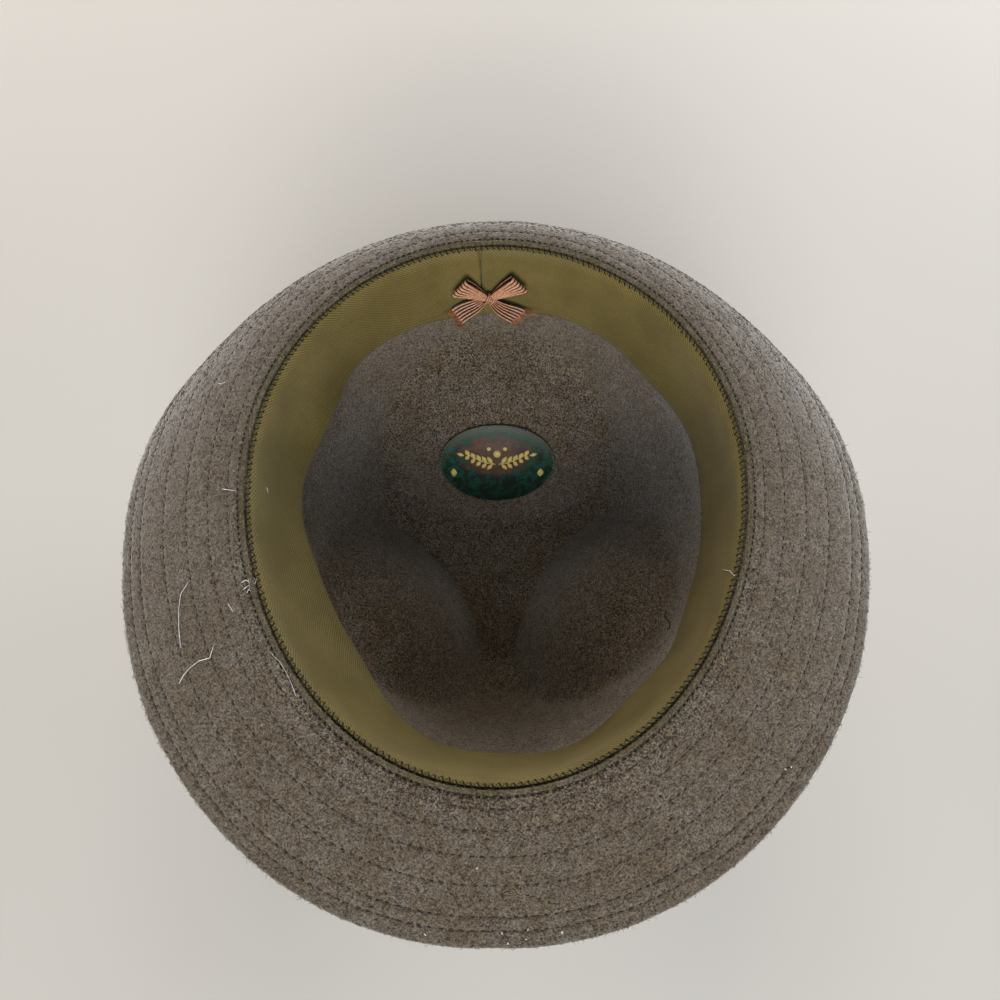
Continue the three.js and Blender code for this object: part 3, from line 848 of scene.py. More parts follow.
band_material, band_tree, band_shader = new_material(
    "olive_ribbon", colour(96, 84, 52), 0.62, sheen=0.1, specular=0.25)
band_ribs = node(band_tree, "ShaderNodeGroup", {
    "Length": band_length * math.sin(RIB_TURN) / RIB_PITCH,
    "Width": BAND_HEIGHT * math.cos(RIB_TURN) / RIB_PITCH}, node_tree=ribbon_ribs)
band_spot = object_place(band_tree)
band_uv = node(band_tree, "ShaderNodeSeparateXYZ", {
    "Vector": node(band_tree, "ShaderNodeTexCoord").outputs["UV"]})
band_wear = mixed(band_tree, ranged(band_tree, noise_at(band_tree, band_spot, 60.0), 0.35, 0.65),
                  colour(103, 91, 48), colour(114, 101, 56))
band_rib_tone = ranged(band_tree, band_ribs.outputs["Ribs"], 0.0, 1.0, 0.62, 1.3)
band_grain = ranged(band_tree, noise_at(band_tree, band_spot, 1700.0), 0.3, 0.7, 0.84, 1.16)
band_line_near = maths(band_tree, "ABSOLUTE", maths(
    band_tree, "SUBTRACT", band_uv.outputs["Y"], EDGE_LINE))
band_line = ranged(band_tree, band_line_near, 0.0, 0.014, 0.86, 1.0)
band_tone = maths(band_tree, "MULTIPLY", maths(
    band_tree, "MULTIPLY", band_rib_tone, band_grain), band_line)
link_look(band_tree, band_shader, scaled_colour(band_tree, band_wear, band_tone),
          bumped(band_tree, band_ribs.outputs["Ribs"], 0.4, 0.00012))
finish_piece(sweatband, band_material, "grosgrain", "sweatband")

# %% [markdown]
# ## Stitches
# Six rows of running stitch stiffen the brim. There are some thousands of stitches, so each is
# a very plain strand: a closed tube with four sides, pressed onto the felt by a ray. They are
# laid by loops and joined into one mesh a side, because thousands of separate objects would
# slow Blender down without looking any better.

# %% Tubes along short paths
def tube_rings(path, radii, sides):
    """Rings of points round a path of points, turned to follow it."""
    path = np.asarray(path, float)
    ahead = np.gradient(path, axis=0)
    ahead /= np.linalg.norm(ahead, axis=1, keepdims=True)
    start = np.cross(ahead[0], [0, 0, 1.0])
    if np.linalg.norm(start) < 0.1:
        start = np.cross(ahead[0], [0, 1.0, 0])
    rings = []
    side = start / np.linalg.norm(start)
    for centre, forward, radius in zip(path, ahead, radii):
        side = side - forward * (side @ forward)
        side /= np.linalg.norm(side)
        other = np.cross(forward, side)
        for step in range(sides):
            turn = 2 * math.pi * step / sides
            rings.append(centre + radius * (math.cos(turn) * side + math.sin(turn) * other))
    return rings


def mesh_piece(name, corners, faces):
    """A new piece from corners and faces."""
    mesh = bpy.data.meshes.new(name)
    mesh.from_pydata([tuple(corner) for corner in corners], [], faces)
    mesh.update()
    piece = bpy.data.objects.new(name, mesh)
    bpy.context.scene.collection.objects.link(piece)
    return piece


def tube_mesh(name, paths, radius, sides=4, taper=0.35):
    """One mesh of closed tubes, thinner at both ends."""
    corners, faces = [], []
    for path in paths:
        count = len(path)
        radii = [radius * (taper if step in (0, count - 1) else 1) for step in range(count)]
        first = len(corners)
        corners.extend(tube_rings(path, radii, sides))
        for ring in range(count - 1):
            low = first + ring * sides
            for step in range(sides):
                after = (step + 1) % sides
                faces.append((low + step, low + after, low + sides + after, low + sides + step))
        faces.append(tuple(range(first + sides - 1, first - 1, -1)))
        last = first + (count - 1) * sides
        faces.append(tuple(range(last, last + sides)))
    return mesh_piece(name, corners, faces)


# %% Brim stitches
STITCH_PITCH = 0.0031
STITCH_LENGTH = 0.0022
STITCH_LENGTH_SHARES = (0.8, 1.15)
STITCH_START_WANDER = 0.2
THREAD_RADIUS = 0.00022
STITCH_HEIGHTS = np.array([-0.0004, 0.00006, 0.00006, -0.0004])
FELT_REACH = 0.0025


def laid_on_felt(places, upward, heights):
    """Points moved along their upward directions onto the felt, at heights over it."""
    laid = []
    for place, up, height in zip(places, upward, heights):
        start = Vector(place + up * FELT_REACH)
        hit = felt_surface.ray_cast(start, Vector(-up), 2 * FELT_REACH)[0]
        surface = place if hit is None else np.array(hit)
        laid.append(surface + up * height)
    return laid


def brim_face(angle, from_edge, head_side):
    """Points and upward directions on either face of the brim."""
    along = brim_along(angle, np.full_like(angle, from_edge))
    step = 1e-4
    here = brim_point(angle, along)
    ahead = brim_point(angle, along + step) - here
    side = brim_point(angle + step / HALF_WIDTH, along) - here
    upward = np.cross(ahead, side)
    upward /= np.linalg.norm(upward, axis=1, keepdims=True)
    if head_side:
        return here + upward * FELT_THICKNESS + HAT_SHIFT, upward
    return here + HAT_SHIFT, -upward


def brim_row_paths(from_edge, head_side):
    """Short paths of one row of running stitches, each dipping into the felt at its ends."""
    angles = np.linspace(0, 2 * math.pi, 1001)
    line = brim_face(angles, from_edge, head_side)[0]
    steps = np.linalg.norm(np.diff(line, axis=0), axis=1)
    length = np.concatenate([[0], np.cumsum(steps)])
    count = int(length[-1] / STITCH_PITCH)
    paths = []
    for index in range(count):
        start = (index + STITCH_START_WANDER * random.random()) * length[-1] / count
        at = start + np.linspace(0, 1, 4) * STITCH_LENGTH * random.uniform(*STITCH_LENGTH_SHARES)
        places, upward = brim_face(np.interp(at, length, angles), from_edge, head_side)
        paths.append(laid_on_felt(places, upward, STITCH_HEIGHTS))
    return paths


def thread_material(name, dark, pale):
    """Sewing thread: two tones of one colour that change along it."""
    material, tree, shader = new_material(name, pale, 0.8, specular=0.2)
    place = object_place(tree)
    link_look(tree, shader, two_tones(tree, noise_at(tree, place, 900.0), dark, pale),
              bumped(tree, noise_at(tree, place, 2600.0), 0.4, 0.0001))
    return material


random.seed(11)
dark_thread = thread_material("dark_thread", colour(38, 34, 28), colour(70, 63, 52))
for face, head_side in (("head", True), ("worn", False)):
    paths = [path for row in STITCH_ROWS for path in brim_row_paths(row, head_side)]
    finish_piece(tube_mesh(f"brim_stitches_{face}", paths, THREAD_RADIUS), dark_thread, "felt")

# %% [markdown]
# ## The sewn edge of the band
# Where the band is sewn on, short slanting stitches in dark green thread cross its edge, a
# fuzzy olive cord lies just outside it, and a dashed row runs beyond that in the felt. Each is
# laid on the small round of the break, at an angle up from the crown wall.

# %% Slanting stitches, return threads and outer row
EDGE_STITCH_PITCH = 0.0022
EDGE_STITCH_RADIUS = 0.00025
RETURN_RADIUS = 0.00007
EDGE_WANDER = 2.5
STITCH_MIDDLE_TURN = 50.0
BREAK_ARC = BREAK_RADIUS + FELT_THICKNESS
BAND_FACE = BREAK_ARC + SEWN_GAP + BAND_THICKNESS

# Points of a stitch: share of the step, degrees up from the wall, share of the wander, height
SLANTING_STITCH = [(0.0, 37, 1, -0.0003), (0.08, 41, 1, 0.0001), (0.28, 50, 1, 0.00002),
                   (0.45, 58, 1, -0.0006)]
RETURN_THREAD = [(0.45, 57, 1, -0.0005), (0.6, 50, 0, 0.00002), (0.85, 42, 0, 0.00006),
                 (1.0, 37, 0, -0.0002)]
OUTER_STITCH = [(0.0, 84, 0.5, -0.0004), (0.2, 84, 0, 0.0001), (0.5, 84, 0, 0.0001),
                (0.68, 84, 0.5, -0.0004)]


def on_break(angle, turned, radius):
    """Point over the round of the break: turned is 0 at the wall and 90 degrees on top."""
    angle = np.atleast_1d(angle).astype(float)
    turned = np.radians(turned)
    z = SPRING_LINE + radius * np.sin(turned)
    out = np.broadcast_to(BREAK_RADIUS - radius * np.cos(turned), angle.shape)
    return oval_point(angle, 1, z) + oval_normal(angle) * out[:, None] + HAT_SHIFT


def even_angles(turned, radius, pitch):
    """Angles a pitch apart along a line over the break."""
    angles = np.linspace(0, 2 * math.pi, 1001)
    line = on_break(angles, turned, radius)
    length = np.concatenate([[0], np.cumsum(np.linalg.norm(np.diff(line, axis=0), axis=1))])
    count = int(length[-1] / pitch)
    return np.interp(np.arange(count + 1) * length[-1] / count, length, angles)


def stitch_on_break(angle, step, wander, shape, base):
    """Path of one stitch from its points, with heights over a base radius."""
    return [on_break(angle + share * step, turned + wander * loose, base + height)[0]
            for share, turned, loose, height in shape]


random.seed(3)
slanting, returning, outer = [], [], []
edge_angles = even_angles(STITCH_MIDDLE_TURN, BAND_FACE, EDGE_STITCH_PITCH)
for angle, following in zip(edge_angles, edge_angles[1:]):
    step = following - angle
    wander = random.uniform(-EDGE_WANDER, EDGE_WANDER)
    slanting.append(stitch_on_break(angle, step, wander, SLANTING_STITCH, BAND_FACE))
    returning.append(stitch_on_break(angle, step, wander, RETURN_THREAD, BAND_FACE))
    outer.append(stitch_on_break(angle, step, wander, OUTER_STITCH, BREAK_ARC))
green_thread = thread_material("green_thread", colour(14, 17, 11), colour(40, 42, 27))
finish_piece(tube_mesh("band_slanting_stitches", slanting, EDGE_STITCH_RADIUS),
             green_thread, "grosgrain")
finish_piece(tube_mesh("band_return_threads", returning, RETURN_RADIUS),
             green_thread, "grosgrain")
finish_piece(tube_mesh("band_outer_row", outer, EDGE_STITCH_RADIUS), green_thread, "grosgrain")

# %% Edge cord
CORD_RADIUS = 0.0008
CORD_STEPS = 600
CORD_TURN = 67.0
CORD_LIFT = 0.0001
CORD_STITCH_WAVE = 0.00010
CORD_LOOSE_WAVE = 0.00008
CORD_LOOSE_WAVES = 97
cord_turns = np.linspace(0, 2 * math.pi, CORD_STEPS + 1)
cord_wander = CORD_STITCH_WAVE * np.sin(cord_turns * len(edge_angles))
cord_wander += CORD_LOOSE_WAVE * np.sin(cord_turns * CORD_LOOSE_WAVES)
edge_cord_line = on_break(cord_turns, CORD_TURN, BREAK_ARC + CORD_LIFT)
edge_cord_line[:, 2] += cord_wander
edge_cord = tube_mesh("band_edge_cord", [edge_cord_line], CORD_RADIUS, sides=8, taper=1.0)
cord_material, cord_tree, cord_shader = new_material(
    "olive_cord", colour(88, 80, 58), 0.95, sheen=0.1, specular=0.1)
cord_wool = node(cord_tree, "ShaderNodeGroup", {
    "Brown": colour(92, 84, 62), "Grey": colour(108, 101, 84)}, node_tree=wool_melange)
link_look(cord_tree, cord_shader, cord_wool.outputs["Colour"],
          bumped(cord_tree, cord_wool.outputs["Height"], 0.8, 0.0003))
finish_piece(edge_cord, cord_material, "grosgrain")

# %% [markdown]
# ## The bow
# The bow is a narrow copper ribbon with dark lengthwise stripes, tied into two loops and two
# tails and squeezed by a knot, so it fans out in small pleats. Each arm is a grid: along the
# arm it widens, and across it a wave makes the pleats, deep at the knot and flatter at the
# end. A loop goes out, turns and comes back over itself. A tail ends in loose threads.

# %% Bow sizes
BOW_RIBBON_WIDTH = 0.010
BOW_GATHERED_WIDTH = 0.0020
BOW_ROOT = 0.0008
BOW_RIBBON_WALL = 0.0003
BOW_LOOP_THICKNESS = 0.0024
BOW_TIP_LIFT = 0.0024
BOW_LEFT_OF_BACK = 0.0035
BOW_BELOW_BREAK = 0.024
BOW_STAND_OFF = 0.0026
BOW_STRIPES = 6.0
PLEAT_AT_KNOT = 0.00034
BOW_ARMS = [
    {"kind": "loop", "direction": 39, "length": 1.58, "opens": 1.0, "sweep": 0},
    {"kind": "loop", "direction": 142, "length": 1.48, "opens": 1.0, "sweep": 0},
    {"kind": "tail", "direction": 210, "length": 1.6, "opens": 2.4, "sweep": 8},
    {"kind": "tail", "direction": 306, "length": 1.6, "opens": 2.0, "sweep": 26},
]

bow_angle = np.array([math.pi / 2 + BOW_LEFT_OF_BACK / HALF_WIDTH])
bow_share = np.array([BOW_BELOW_BREAK / BAND_HEIGHT])
bow_face = np.array([BAND_THICKNESS])
bow_seat = band_point(bow_angle, bow_share, bow_face)[0]
bow_up = band_point(bow_angle, bow_share - 0.1, bow_face)[0] - bow_seat
bow_up /= np.linalg.norm(bow_up)
bow_across = np.cross(bow_up, -oval_normal(bow_angle)[0])
bow_across /= np.linalg.norm(bow_across)
bow_out = np.cross(bow_across, bow_up)


def bow_world(local):
    """Points given across, up and out from the middle of the bow, in the hat's frame."""
    middle = bow_seat + bow_out * BOW_STAND_OFF
    return middle + np.asarray(local, float) @ np.array([bow_across, bow_up, bow_out])


def arm_frame(arm, along, side, out):
    """Places on an arm: along its swept middle line, to its side, and out from the band."""
    sweep = math.radians(arm["sweep"]) * along / (arm["length"] * BOW_RIBBON_WIDTH)
    turn = math.radians(arm["direction"])
    middle_turn, end_turn = turn + sweep / 2, turn + sweep
    x = along * np.cos(middle_turn) - side * np.sin(end_turn)
    y = along * np.sin(middle_turn) + side * np.cos(end_turn)
    return bow_world(points(x, y, out))


def arm_width(arm, share):
    """Width of an arm at a share of its length, gathered at the knot."""
    opened = 1 - (1 - np.clip(share, 0, 1)) ** arm["opens"]
    return BOW_GATHERED_WIDTH + (BOW_RIBBON_WIDTH - BOW_GATHERED_WIDTH) * opened


def arm_pleat(share, across, end_depth):
    """Height of the pleats, one for each stripe, deep at the knot and shallow at the end."""
    depth = PLEAT_AT_KNOT * (1 - np.clip(share, 0, 1)) ** 1.2 + end_depth
    return -depth * np.cos(2 * math.pi * BOW_STRIPES * across)


# %% Bow arms
LOOP_PLEAT = 0.00006
TAIL_PLEAT = 0.00022
LOOP_COLUMNS = 56
TAIL_COLUMNS = 30
ARM_ROWS = 64
LOOP_BELLY = 0.0006
LOOP_PRESSED = 0.25
LOOP_OPEN_FROM = 0.6
TAIL_SLANT = 0.12
TAIL_RAGGED = 0.02
TAIL_DIP = 0.0006
TAIL_LIFT_SHARE = 0.8


def loop_place(arm):
    """Grid of a loop: out along the band, round the turn and back on top."""
    length = arm["length"] * BOW_RIBBON_WIDTH
    radius = BOW_LOOP_THICKNESS / 2
    straight = length - radius - BOW_ROOT
    total = 2 * straight + math.pi * radius

    def place(across, along):
        run = across * total
        turn = np.clip((run - straight) / radius, 0, math.pi)
        back = np.maximum(run - straight - math.pi * radius, 0)
        reach = np.minimum(run, straight) + radius * np.sin(turn) - back
        share = np.clip(reach / (length - BOW_ROOT), 0, 1)
        opened = np.clip(reach / (straight * LOOP_OPEN_FROM), 0, 1)
        height = -radius * np.cos(turn) * (LOOP_PRESSED + (1 - LOOP_PRESSED) * opened)
        belly = LOOP_BELLY * np.sin(math.pi * share) * np.sin(math.pi * along) * (run > straight)
        out = height + BOW_TIP_LIFT * share**2 + arm_pleat(share, along, LOOP_PLEAT) + belly
        return arm_frame(arm, reach + BOW_ROOT, (along - 0.5) * arm_width(arm, share), out)

    return place


def tail_place(arm):
    """Grid of a tail: one layer that bends away from the knot and ends in a ragged cut."""
    length = arm["length"] * BOW_RIBBON_WIDTH - BOW_ROOT

    def place(across, along):
        ragged = 1 + TAIL_SLANT * (along - 0.5)
        ragged = ragged + TAIL_RAGGED * np.sin(along * 37) * (across > 0.9)
        reach = across * length * ragged
        share = np.clip(across, 0, 1)
        out = BOW_TIP_LIFT * TAIL_LIFT_SHARE * share**2
        out = out + TAIL_DIP * np.sin(math.pi * 1.5 * share) - TAIL_DIP
        out = out + arm_pleat(share, along, TAIL_PLEAT)
        return arm_frame(arm, reach + BOW_ROOT, (along - 0.5) * arm_width(arm, share), out)

    return place


bow_arms = []
for number, arm in enumerate(BOW_ARMS):
    make = loop_place if arm["kind"] == "loop" else tail_place
    columns = LOOP_COLUMNS if arm["kind"] == "loop" else TAIL_COLUMNS
    piece = shaped_grid(f"bow_{arm['kind']}_{number}", columns, ARM_ROWS, make(arm))
    thicken(piece, BOW_RIBBON_WALL)
    bow_arms.append(piece)
print("bow arms:", [piece.name for piece in bow_arms])


# %% Bow ribbon material
def bow_ribbon_material(name, dark_from, dark_to, cross_ribs):
    """Copper ribbon with dark stripes along it and fine ribs across it."""
    material, tree, shader = new_material(name, colour(170, 110, 76), 0.45, specular=0.45)
    stripes = node(tree, "ShaderNodeGroup", {
        "Length": 0.0, "Width": BOW_STRIPES}, node_tree=ribbon_ribs)
    ribs = node(tree, "ShaderNodeGroup", {
        "Length": cross_ribs, "Width": 0.0}, node_tree=ribbon_ribs)
    grain = noise_at(tree, object_place(tree), 1500.0)
    copper = mixed(tree, ranged(tree, grain, 0.3, 0.7), colour(176, 112, 80),
                   colour(236, 184, 150))
    ribbed = scaled_colour(tree, copper, ranged(
        tree, ribs.outputs["Ribs"], 0.0, 1.0, 0.66, 1.15))
    copper_share = ranged(tree, stripes.outputs["Ribs"], dark_from, dark_to)
    link_look(tree, shader, mixed(tree, copper_share, colour(12, 8, 9), ribbed),
              bumped(tree, ribs.outputs["Ribs"], 0.4, 0.0001))
    return material


loop_finish = bow_ribbon_material("copper_loop_ribbon", 0.28, 0.52, 60.0)
tail_finish = bow_ribbon_material("copper_tail_ribbon", 0.46, 0.7, 34.0)
for piece, arm in zip(bow_arms, BOW_ARMS):
    replaced = ["bow_ribbon"] if piece is bow_arms[0] else []
    finish = loop_finish if arm["kind"] == "loop" else tail_finish
    finish_piece(piece, finish, "bow_ribbon", *replaced)

# %% Bow knot
KNOT_HALF_WIDTH = 0.0015
KNOT_HALF_HEIGHT = 0.0021
KNOT_HALF_DEPTH = 0.0016
KNOT_WALL = 0.00035
KNOT_TURN = math.radians(-24)


def knot_place(across, along):
    """A short sleeve round the gathered arms, turned a little and creased along its length."""
    turn = across * 2 * math.pi
    side = (along - 0.5) * 2
    flare = 1 + 0.14 * side**2
    crease = 1 + 0.07 * np.cos(side * 2.5 * math.pi) * np.cos(turn / 2) ** 2
    x = KNOT_HALF_WIDTH * side * (1 + 0.12 * np.sin(turn * 3))
    y = KNOT_HALF_HEIGHT * flare * crease * np.sin(turn)
    z = KNOT_HALF_DEPTH * flare * crease * np.cos(turn) + 0.00035 * np.sin(turn * 2)
    turned_x = x * math.cos(KNOT_TURN) - y * math.sin(KNOT_TURN)
    turned_y = x * math.sin(KNOT_TURN) + y * math.cos(KNOT_TURN)
    return bow_world(points(turned_x, turned_y, z))


bow_knot = shaped_grid("bow_knot_fine", 48, 24, knot_place)
merge_seams(bow_knot)
thicken(bow_knot, KNOT_WALL)
knot_finish = bow_ribbon_material("copper_wrap", 0.12, 0.34, 22.0)
finish_piece(bow_knot, knot_finish, "bow_wrap", "bow_knot")

# %% Frayed ends of the tails
FRAYS_PER_TAIL = 110
FRAY_RADIUS = 0.00008
FRAY_ROOT = 0.985
FRAY_LENGTHS = (0.0007, 0.0024)
FRAY_STRAY = 0.5
random.seed(5)
fray_paths = []
for arm in [arm for arm in BOW_ARMS if arm["kind"] == "tail"]:
    place = tail_place(arm)
    for thread in range(FRAYS_PER_TAIL):
        across = np.array([random.random()])
        start = place(np.array([FRAY_ROOT]), across)[0]
        before = place(np.array([0.9]), across)[0]
        ahead = (start - before) / np.linalg.norm(start - before)
        corner = 1 + 1.3 * max(0, abs(across[0] - 0.5) * 2 - 0.7) / 0.3
        reach = random.uniform(*FRAY_LENGTHS) * corner
        stray = np.array([random.uniform(-1, 1) for axis in range(3)]) * FRAY_STRAY
        fray_paths.append([start + ahead * reach * share + stray * reach * share**2
                           for share in (0.0, 0.35, 0.7, 1.0)])
bow_frays = tube_mesh("bow_frays", fray_paths, FRAY_RADIUS, sides=3, taper=0.7)
fray_material, fray_tree, fray_shader = new_material(
    "copper_threads", colour(150, 92, 58), 0.5, specular=0.3)
fray_grain = noise_at(fray_tree, object_place(fray_tree), 800.0)
link_look(fray_tree, fray_shader,
          two_tones(fray_tree, fray_grain, colour(126, 72, 42), colour(214, 138, 88)))
finish_piece(bow_frays, fray_material, "bow_ribbon")

# %% [markdown]
# ## The label
# The label is an oval of lacquered cloth that lies on the slope of the rear dent. It is laid
# like the real one: an oval is held over the slope and pressed straight down on it, which rays
# onto the felt do exactly. Its print is a plain design made for this part: a pale rim, a brown
# medallion on mottled green, a sprig of gold leaves, three gold dots and two gold diamonds.

# %% Label sizes and rays
LABEL_WIDTH = 0.052
LABEL_LENGTH = 0.038
LABEL_THICKNESS = 0.0008
LABEL_GAP = 0.0005
LABEL_CENTRE_Y = 0.037
LABEL_TILT = math.radians(42)
LABEL_RINGS = 22
LABEL_SPOKES = 120
PRESS_SPREAD = 0.0012

label_toward = Vector((0, math.sin(LABEL_TILT), -math.cos(LABEL_TILT)))
label_slope = Vector((0, math.cos(LABEL_TILT), math.sin(LABEL_TILT)))
label_above = Vector((0, LABEL_CENTRE_Y + HAT_SHIFT[1], CROWN_HEIGHT))
label_centre = felt_surface.ray_cast(label_above, Vector((0, 0, -1)))[0]


def on_felt(x, y):
    """Where a place on the flat oval meets the felt when it is pressed down."""
    start = label_centre + Vector((x, 0, 0)) + label_slope * y - label_toward * LABEL_WIDTH / 2
    return felt_surface.ray_cast(start, label_toward)[0]


def pressed(x, y, height):
    """Points on the label at heights over the felt, whose small lumps the cloth spans."""
    placed = []
    spread = PRESS_SPREAD
    heights = np.broadcast_to(height, np.shape(x))
    for one_x, one_y, one_height in zip(x, y, heights):
        near = [on_felt(one_x + dx, one_y + dy) for dx, dy in
                ((0, 0), (spread, 0), (-spread, 0), (0, spread), (0, -spread))]
        middle = sum(near, Vector()) / len(near)
        normal = (near[1] - near[2]).cross(near[3] - near[4]).normalized()
        placed.append(middle + normal * float(one_height))
    return np.array(placed)


# %% Label cloth
LABEL_TOP = LABEL_GAP + LABEL_THICKNESS


def label_place(across, along):
    """Rings of the oval from its middle to its edge."""
    turn = -across * 2 * math.pi
    x = LABEL_WIDTH / 2 * along * np.cos(turn)
    y = LABEL_LENGTH / 2 * along * np.sin(turn)
    return pressed(x, y, LABEL_TOP)


def flatten_print(piece):
    """Turns the UV map of a round grid from turns and rings into a flat picture of it."""
    layer = piece.data.uv_layers.active.data
    spots = np.empty(len(layer) * 2, np.float32)
    layer.foreach_get("uv", spots)
    turn, ring = spots.reshape(-1, 2).T
    flat = np.stack([0.5 + ring * np.cos(turn * 2 * math.pi) / 2,
                     0.5 - ring * np.sin(turn * 2 * math.pi) / 2], axis=1)
    layer.foreach_set("uv", flat.astype(np.float32).ravel())


label = shaped_grid("label_fine", LABEL_SPOKES, LABEL_RINGS, label_place)
flatten_print(label)
merge_seams(label)
thicken(label, LABEL_THICKNESS)
print("label middle at", [round(value, 4) for value in label_centre])

# %% Label print
label_material, label_tree, label_shader = new_material(
    "label_cloth", colour(60, 62, 48), 0.5, specular=0.35)
label_spot = node(label_tree, "ShaderNodeSeparateXYZ", {
    "Vector": node(label_tree, "ShaderNodeTexCoord").outputs["UV"]})
label_x = maths(label_tree, "MULTIPLY_ADD", label_spot.outputs["X"], 2.0, -1.0)
label_y = maths(label_tree, "MULTIPLY_ADD", label_spot.outputs["Y"], 2.0, -1.0)
label_place_socket = object_place(label_tree)
label_cloud = noise_at(label_tree, label_place_socket, 330.0, detail=3.0, distortion=0.6)
label_grain = noise_at(label_tree, label_place_socket, 1800.0)


def label_radius(x_share, y_share, y_middle):
    """Distance from a middle in shares of an oval, as a mask."""
    x = maths(label_tree, "DIVIDE", label_x, x_share)
    y = maths(label_tree, "DIVIDE", maths(label_tree, "SUBTRACT", label_y, y_middle), y_share)
    square = maths(label_tree, "MULTIPLY_ADD", x, x, maths(label_tree, "MULTIPLY", y, y))
    return maths(label_tree, "SQRT", square)


label_green = mixed(label_tree, ranged(label_tree, label_cloud, 0.44, 0.58),
                    colour(24, 40, 30), colour(12, 82, 62))
label_brown = mixed(label_tree, ranged(label_tree, label_cloud, 0.36, 0.6),
                    colour(104, 70, 48), colour(70, 52, 38))
label_medallion = maths(label_tree, "ADD", label_radius(0.66, 0.5, 0.26),
                        maths(label_tree, "MULTIPLY", label_cloud, 0.7))
label_ground = mixed(label_tree, ranged(label_tree, label_medallion, 1.22, 1.42),
                     label_brown, label_green)
label_edge = label_radius(1.0, 1.0, 0.0)
label_rings = maths(label_tree, "SINE", maths(label_tree, "MULTIPLY", label_edge, 150.0))
label_rim = mixed(label_tree, ranged(label_tree, label_rings, -0.4, 0.8),
                  colour(66, 76, 66), colour(96, 102, 90))
label_rim_share = maths(label_tree, "MULTIPLY", ranged(label_tree, label_edge, 0.76, 0.9),
                        ranged(label_tree, label_y, -0.1, 0.7))
label_print = mixed(label_tree, label_rim_share, label_ground, label_rim)
# The label is painted darker toward its lower edge: painted shade where it curls down off the slope.
# The grain on top of that is the cloth's own.
label_painted_shade_and_grain = maths(label_tree, "MULTIPLY", ranged(label_tree, label_y, -0.9, -0.1, 0.4, 1.0),
                    ranged(label_tree, label_grain, 0.3, 0.7, 0.75, 1.25))
link_look(label_tree, label_shader, scaled_colour(label_tree, label_print, label_painted_shade_and_grain),
          bumped(label_tree, label_grain, 0.35, 0.0001))
finish_piece(label, label_material, "label_cloth", "label")

# %% Gold print
FOIL_LIFT = 0.00006
FOIL_SINK = 0.00012


def foil_mesh(name, outlines):
    """One mesh of thin raised shapes, each from an outline round its first point."""
    corners, faces = [], []
    for outline in outlines:
        flat = np.array(outline)
        top = pressed(flat[:, 0], flat[:, 1], LABEL_TOP + FOIL_LIFT)
        low = pressed(flat[:, 0], flat[:, 1], LABEL_TOP - FOIL_SINK)
        first, count = len(corners), len(flat)
        corners.extend([*top, *low])
        for step in range(1, count):
            after = step % (count - 1) + 1
            faces.append((first, first + step, first + after))
            faces.append((first + count, first + count + after, first + count + step))
            faces.append((first + step, first + count + step,
                          first + count + after, first + after))
    return mesh_piece(name, corners, faces)


def leaf(x, y, turn, length, width):
    """Outline of a pointed leaf whose stalk is at a place, its middle point first."""
    shape = [(0.5, 0), (0, 0), (0.2, -0.3), (0.5, -0.5), (0.8, -0.3), (1, 0), (0.8, 0.3),
             (0.5, 0.5), (0.2, 0.3)]
    turn = math.radians(turn)
    return [(x + length * along * math.cos(turn) - width * side * math.sin(turn),
             y + length * along * math.sin(turn) + width * side * math.cos(turn))
            for along, side in shape]


def berry(x, y, radius):
    """Outline of a round dot."""
    ring = [(x + radius * math.cos(turn), y + radius * math.sin(turn))
            for turn in np.linspace(0, 2 * math.pi, 11)[:-1]]
    return [(x, y), *ring]


# Sprig: two branches of leaf pairs that shrink outward, each pair on a short stalk
BRANCH_START = 0.0020
BRANCH_STEP = 0.0026
BRANCH_BASE = 0.0008
BRANCH_RISE = 0.00040
LEAF_PAIRS = 5
PAIR_SHAPES = [
    {"in": 0.0, "down": 0.0, "turn": 58, "length": 0.0043, "shrink": 0.0003, "width": 0.0020},
    {"in": 0.0, "down": 0.0, "turn": -48, "length": 0.0037, "shrink": 0.0003, "width": 0.0018},
    {"in": 0.0016, "down": 0.0001, "turn": 9, "length": 0.0030, "shrink": 0.0, "width": 0.0006},
]
sprig = [berry(0, 0.0056, 0.0017)]
for side in (-1, 1):
    outward = 0 if side > 0 else 180
    for step in range(LEAF_PAIRS):
        x = side * (BRANCH_START + BRANCH_STEP * step)
        y = BRANCH_BASE + BRANCH_RISE * step**1.6
        for shape in PAIR_SHAPES:
            sprig.append(leaf(x - side * shape["in"], y - shape["down"],
                              outward + side * shape["turn"],
                              shape["length"] - shape["shrink"] * step, shape["width"]))
    sprig.append(leaf(side * 0.0146, 0.0045, outward + side * 12, 0.0034, 0.0017))
    sprig.append(berry(side * 0.0036, 0.0080, 0.0009))
    sprig.append(leaf(side * 0.0196, -0.0064, 90, 0.0042, 0.0030))
label_foil = foil_mesh("label_foil", sprig)
foil_material, foil_tree, foil_shader = new_material(
    "gold_print", colour(240, 220, 150), 0.5, specular=0.5)
foil_grain = noise_at(foil_tree, object_place(foil_tree), 1900.0)
link_look(foil_tree, foil_shader,
          two_tones(foil_tree, foil_grain, colour(236, 200, 96), colour(255, 232, 150)),
          bumped(foil_tree, foil_grain, 0.3, 0.0001))
finish_piece(label_foil, foil_material, "label_cloth")

